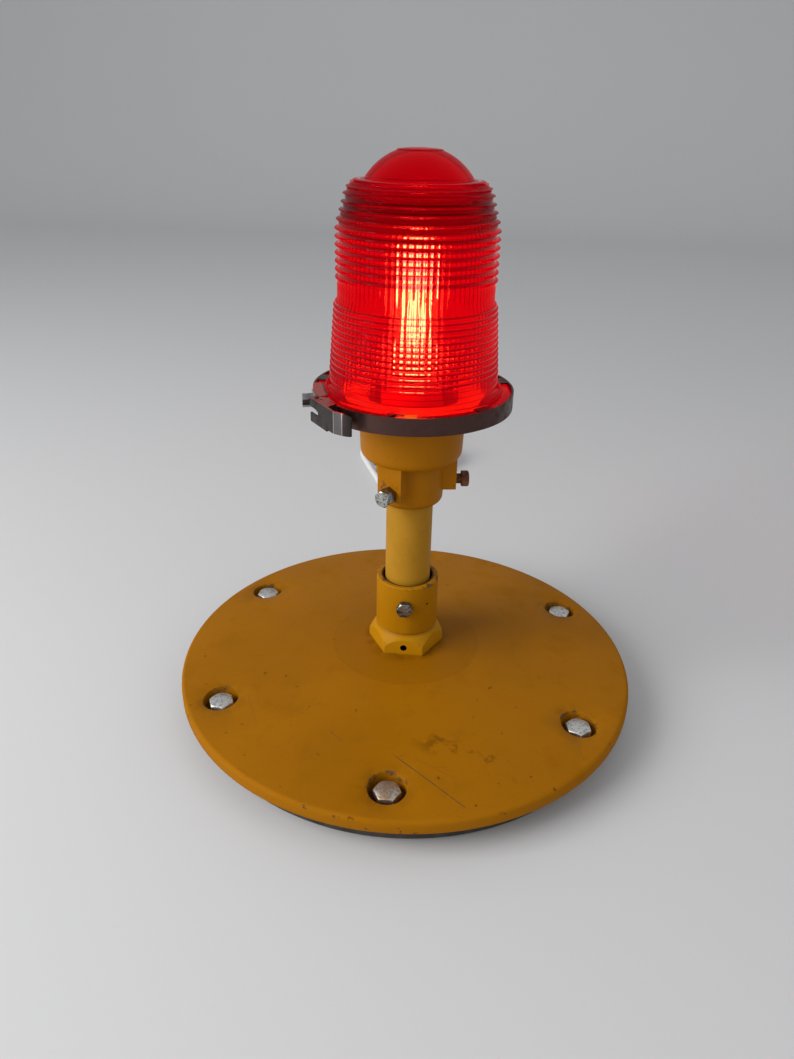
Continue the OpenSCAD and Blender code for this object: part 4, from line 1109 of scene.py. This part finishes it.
def cut(line, longest):
    """Cuts the parts of an outline that rise by more than a length."""
    points = []
    for (r1, z1), (r2, z2) in zip(line, line[1:]):
        parts = max(1, round(abs(z2 - z1) / longest))
        points += [(r1 + (r2 - r1) * i / parts, z1 + (z2 - z1) * i / parts) for i in range(parts)]
    return points + [line[-1]]


def fluted(bm, glass, low, high):
    """Draws the inner wall into upright flutes that fade out at both ends."""
    fading = 5 * MM
    for vert in bm.verts:
        x, y, z = vert.co
        away = math.hypot(x, y)
        middle = (44.9 if z - low < 36 * MM else 41.9) * MM  # between the walls
        if low < z < high and away < middle:
            across = 2 * ((glass.flutes * math.atan2(y, x) / TURN + 0.5) % 1.0) - 1
            ramp = smooth_step(min((z - low) / fading, (high - z) / fading))
            scale = (away - glass.flute_depth * ramp * (1 - across * across)) / away
            vert.co.x *= scale
            vert.co.y *= scale


def in_order(bm):
    """Sorts edges and faces by their vertices, as spin's order differs from run to run."""
    bm.verts.index_update()
    total = len(bm.verts)

    def rank(part):
        marks = sorted(vert.index for vert in part.verts)
        return (marks[0] * total + marks[1]) * total + marks[-1]

    bm.edges.sort(key=rank)
    bm.faces.sort(key=rank)


class LAMP_OT_lens(bpy.types.Operator):
    """Makes the ringed and fluted red glass lens"""

    bl_idname = "lamp.lens"
    bl_label = "Lens"

    def execute(self, context):
        glass = context.scene.lamp_glass
        outer, inner, flute_ends = lens_outline(glass)
        bm = bmesh.new()
        for line, steps in ((cut(inner, 6 * MM), glass.flutes * 6), (outer, glass.flutes * 3)):
            bmesh.ops.spin(
                bm, geom=outline(bm, line), cent=(0, 0, 0), axis=(0, 0, 1), angle=TURN,
                steps=steps, use_merge=True,
            )
        bmesh.ops.remove_doubles(bm, verts=bm.verts, dist=MERGE)
        fluted(bm, glass, *flute_ends)
        bmesh.ops.bridge_loops(bm, edges=[edge for edge in bm.edges if edge.is_boundary])
        bmesh.ops.recalc_face_normals(bm, faces=bm.faces)
        in_order(bm)
        piece_from(bm, "ringed_lens", "lens", red_glass("red_lens_glass", context), 50.0)
        return {"FINISHED"}


# Band and latch


class LAMP_OT_clamp(bpy.types.Operator):
    """Makes the clamp band and its draw latch"""

    bl_idname = "lamp.clamp"
    bl_label = "Clamp band"

    def execute(self, context):
        metals = context.scene.lamp_metal
        band = metal("band_steel", metals.band, 0.30, 0.12, dark=0.5, marks=band_marks)
        steel = metal("latch_steel", metals.latch, 0.34, 0.15)
        bright = metal("fork_steel", metals.bright, 0.36, 0.3)
        lever = metal("lever_steel", tone(metals.latch, 0.5), 0.30, 0.15, marks=lever_marks)
        dressed("clamp_band", "steel_band", band, 0.25 * MM)
        for node, name, finish in (
            ("latch_bracket", "band_bracket", steel),
            ("latch_catch", "band_catch", bright),
            ("latch_rivets", "band_rivets", steel),
            ("lever_rivets", "pivot_rivets", steel),
            ("latch_lever", "pull_lever", lever),
            ("link_pin", "lever_pin", steel),
            ("latch_link", "pull_link", steel),
        ):
            dressed(node, name, finish, 0.18 * MM)
        return {"FINISHED"}


# Stage


def swept_floor(name, shade):
    """A floor that rises behind into a wall."""
    bm = bmesh.new()
    bmesh.ops.create_grid(bm, x_segments=1, y_segments=1, size=FLOOR_HALF)
    bmesh.ops.translate(bm, verts=bm.verts, vec=(0, -FLOOR_FORWARD, 0))
    back = FLOOR_HALF - FLOOR_FORWARD
    far = [edge for edge in bm.edges if all(vert.co.y > 0.9 * back for vert in edge.verts)]
    swept = bmesh.ops.spin(
        bm, geom=far, cent=(0, back, SWEEP_RADIUS), axis=(1, 0, 0), angle=TURN / 4, steps=16,
        use_merge=False,
    )["geom_last"]
    swept = [part for part in swept if isinstance(part, bmesh.types.BMEdge)]
    wall = bmesh.ops.extrude_edge_only(bm, edges=swept)["geom"]
    wall = [part for part in wall if isinstance(part, bmesh.types.BMVert)]
    bmesh.ops.translate(bm, verts=wall, vec=(0, 0, WALL_HEIGHT))
    bmesh.ops.recalc_face_normals(bm, faces=bm.faces)
    mesh = bpy.data.meshes.new(name)
    bm.to_mesh(mesh)
    bm.free()
    mesh.shade_smooth()
    sheet = Sheet("pale_floor")
    mist = sheet.between(sheet.noise(1.2, 2.0), 0.3, 0.7) * 0.3
    pale = sheet.blend(mist, shade, tone(shade, 0.96))
    mesh.materials.append(sheet.surface({"Base Color": pale, "Roughness": 0.55}))
    return bpy.data.objects.new(name, mesh)


class LAMP_OT_stage(bpy.types.Operator):
    """Sets the floor, the lights and the camera"""

    bl_idname = "lamp.stage"
    bl_label = "Stage"

    def execute(self, context):
        scene = context.scene
        stage = scene.lamp_stage
        scene.view_settings.view_transform = "Standard"
        camera = bpy.data.objects.new("camera", bpy.data.cameras.new("camera"))
        turn = Matrix(CAMERA_AXES).transposed().to_4x4()
        camera.matrix_world = Matrix.Translation(CAMERA_PLACE) @ turn
        camera.data.lens = stage.lens
        camera.data.sensor_width = 36.0
        camera.data.clip_start = 0.01
        scene.collection.objects.link(camera)
        scene.camera = camera
        floor = swept_floor("floor", stage.floor)
        scene.collection.objects.link(floor)
        for power, size, place in LAMPS:
            lamp = bpy.data.lights.new(power + "_light", "AREA")
            lamp.energy = getattr(stage, power)
            lamp.shape = "SQUARE"
            lamp.size = size
            light = bpy.data.objects.new(lamp.name, lamp)
            light.location = place
            aim = LAMP_AIM - Vector(place)
            light.rotation_euler = aim.to_track_quat("-Z", "Y").to_euler()
            scene.collection.objects.link(light)
        world = bpy.data.worlds.new("sky")
        world.use_nodes = True
        background = world.node_tree.nodes["Background"]
        background.inputs["Color"].default_value = SKY_TINT
        background.inputs["Strength"].default_value = stage.sky
        scene.world = world
        return {"FINISHED"}


GROUPS = {
    "lamp_glass": GlassSettings,
    "lamp_paint": PaintSettings,
    "lamp_metal": MetalSettings,
    "lamp_bulb": BulbSettings,
    "lamp_cord": CordSettings,
    "lamp_stage": StageSettings,
}
STEPS = (
    LAMP_OT_stage, LAMP_OT_cord, LAMP_OT_base, LAMP_OT_bolts, LAMP_OT_coupling, LAMP_OT_column,
    LAMP_OT_head, LAMP_OT_socket, LAMP_OT_bulb, LAMP_OT_lens, LAMP_OT_clamp,
)


class LAMP_PT_panel(bpy.types.Panel):
    """Lists the lamp's operators and settings"""

    bl_label = "Runway light desk lamp"
    bl_idname = "LAMP_PT_panel"
    bl_space_type = "VIEW_3D"
    bl_region_type = "UI"
    bl_category = "Lamp"

    def draw(self, context):
        for step in STEPS:
            self.layout.operator(step.bl_idname)
        for group in GROUPS:
            box = self.layout.box()
            settings = getattr(context.scene, group)
            box.label(text=group.removeprefix("lamp_").capitalize())
            for key in settings.__annotations__:
                box.prop(settings, key)


def register():
    for kind in (*GROUPS.values(), *STEPS, LAMP_PT_panel):
        bpy.utils.register_class(kind)
    for name, kind in GROUPS.items():
        setattr(bpy.types.Scene, name, bpy.props.PointerProperty(type=kind))


def unregister():
    for name in GROUPS:
        delattr(bpy.types.Scene, name)
    for kind in reversed((*GROUPS.values(), *STEPS, LAMP_PT_panel)):
        bpy.utils.unregister_class(kind)


def main():
    """Builds the lamp."""
    register()
    for step in STEPS:
        getattr(bpy.ops.lamp, step.bl_idname.removeprefix("lamp."))()


if __name__ == "__main__":
    main()
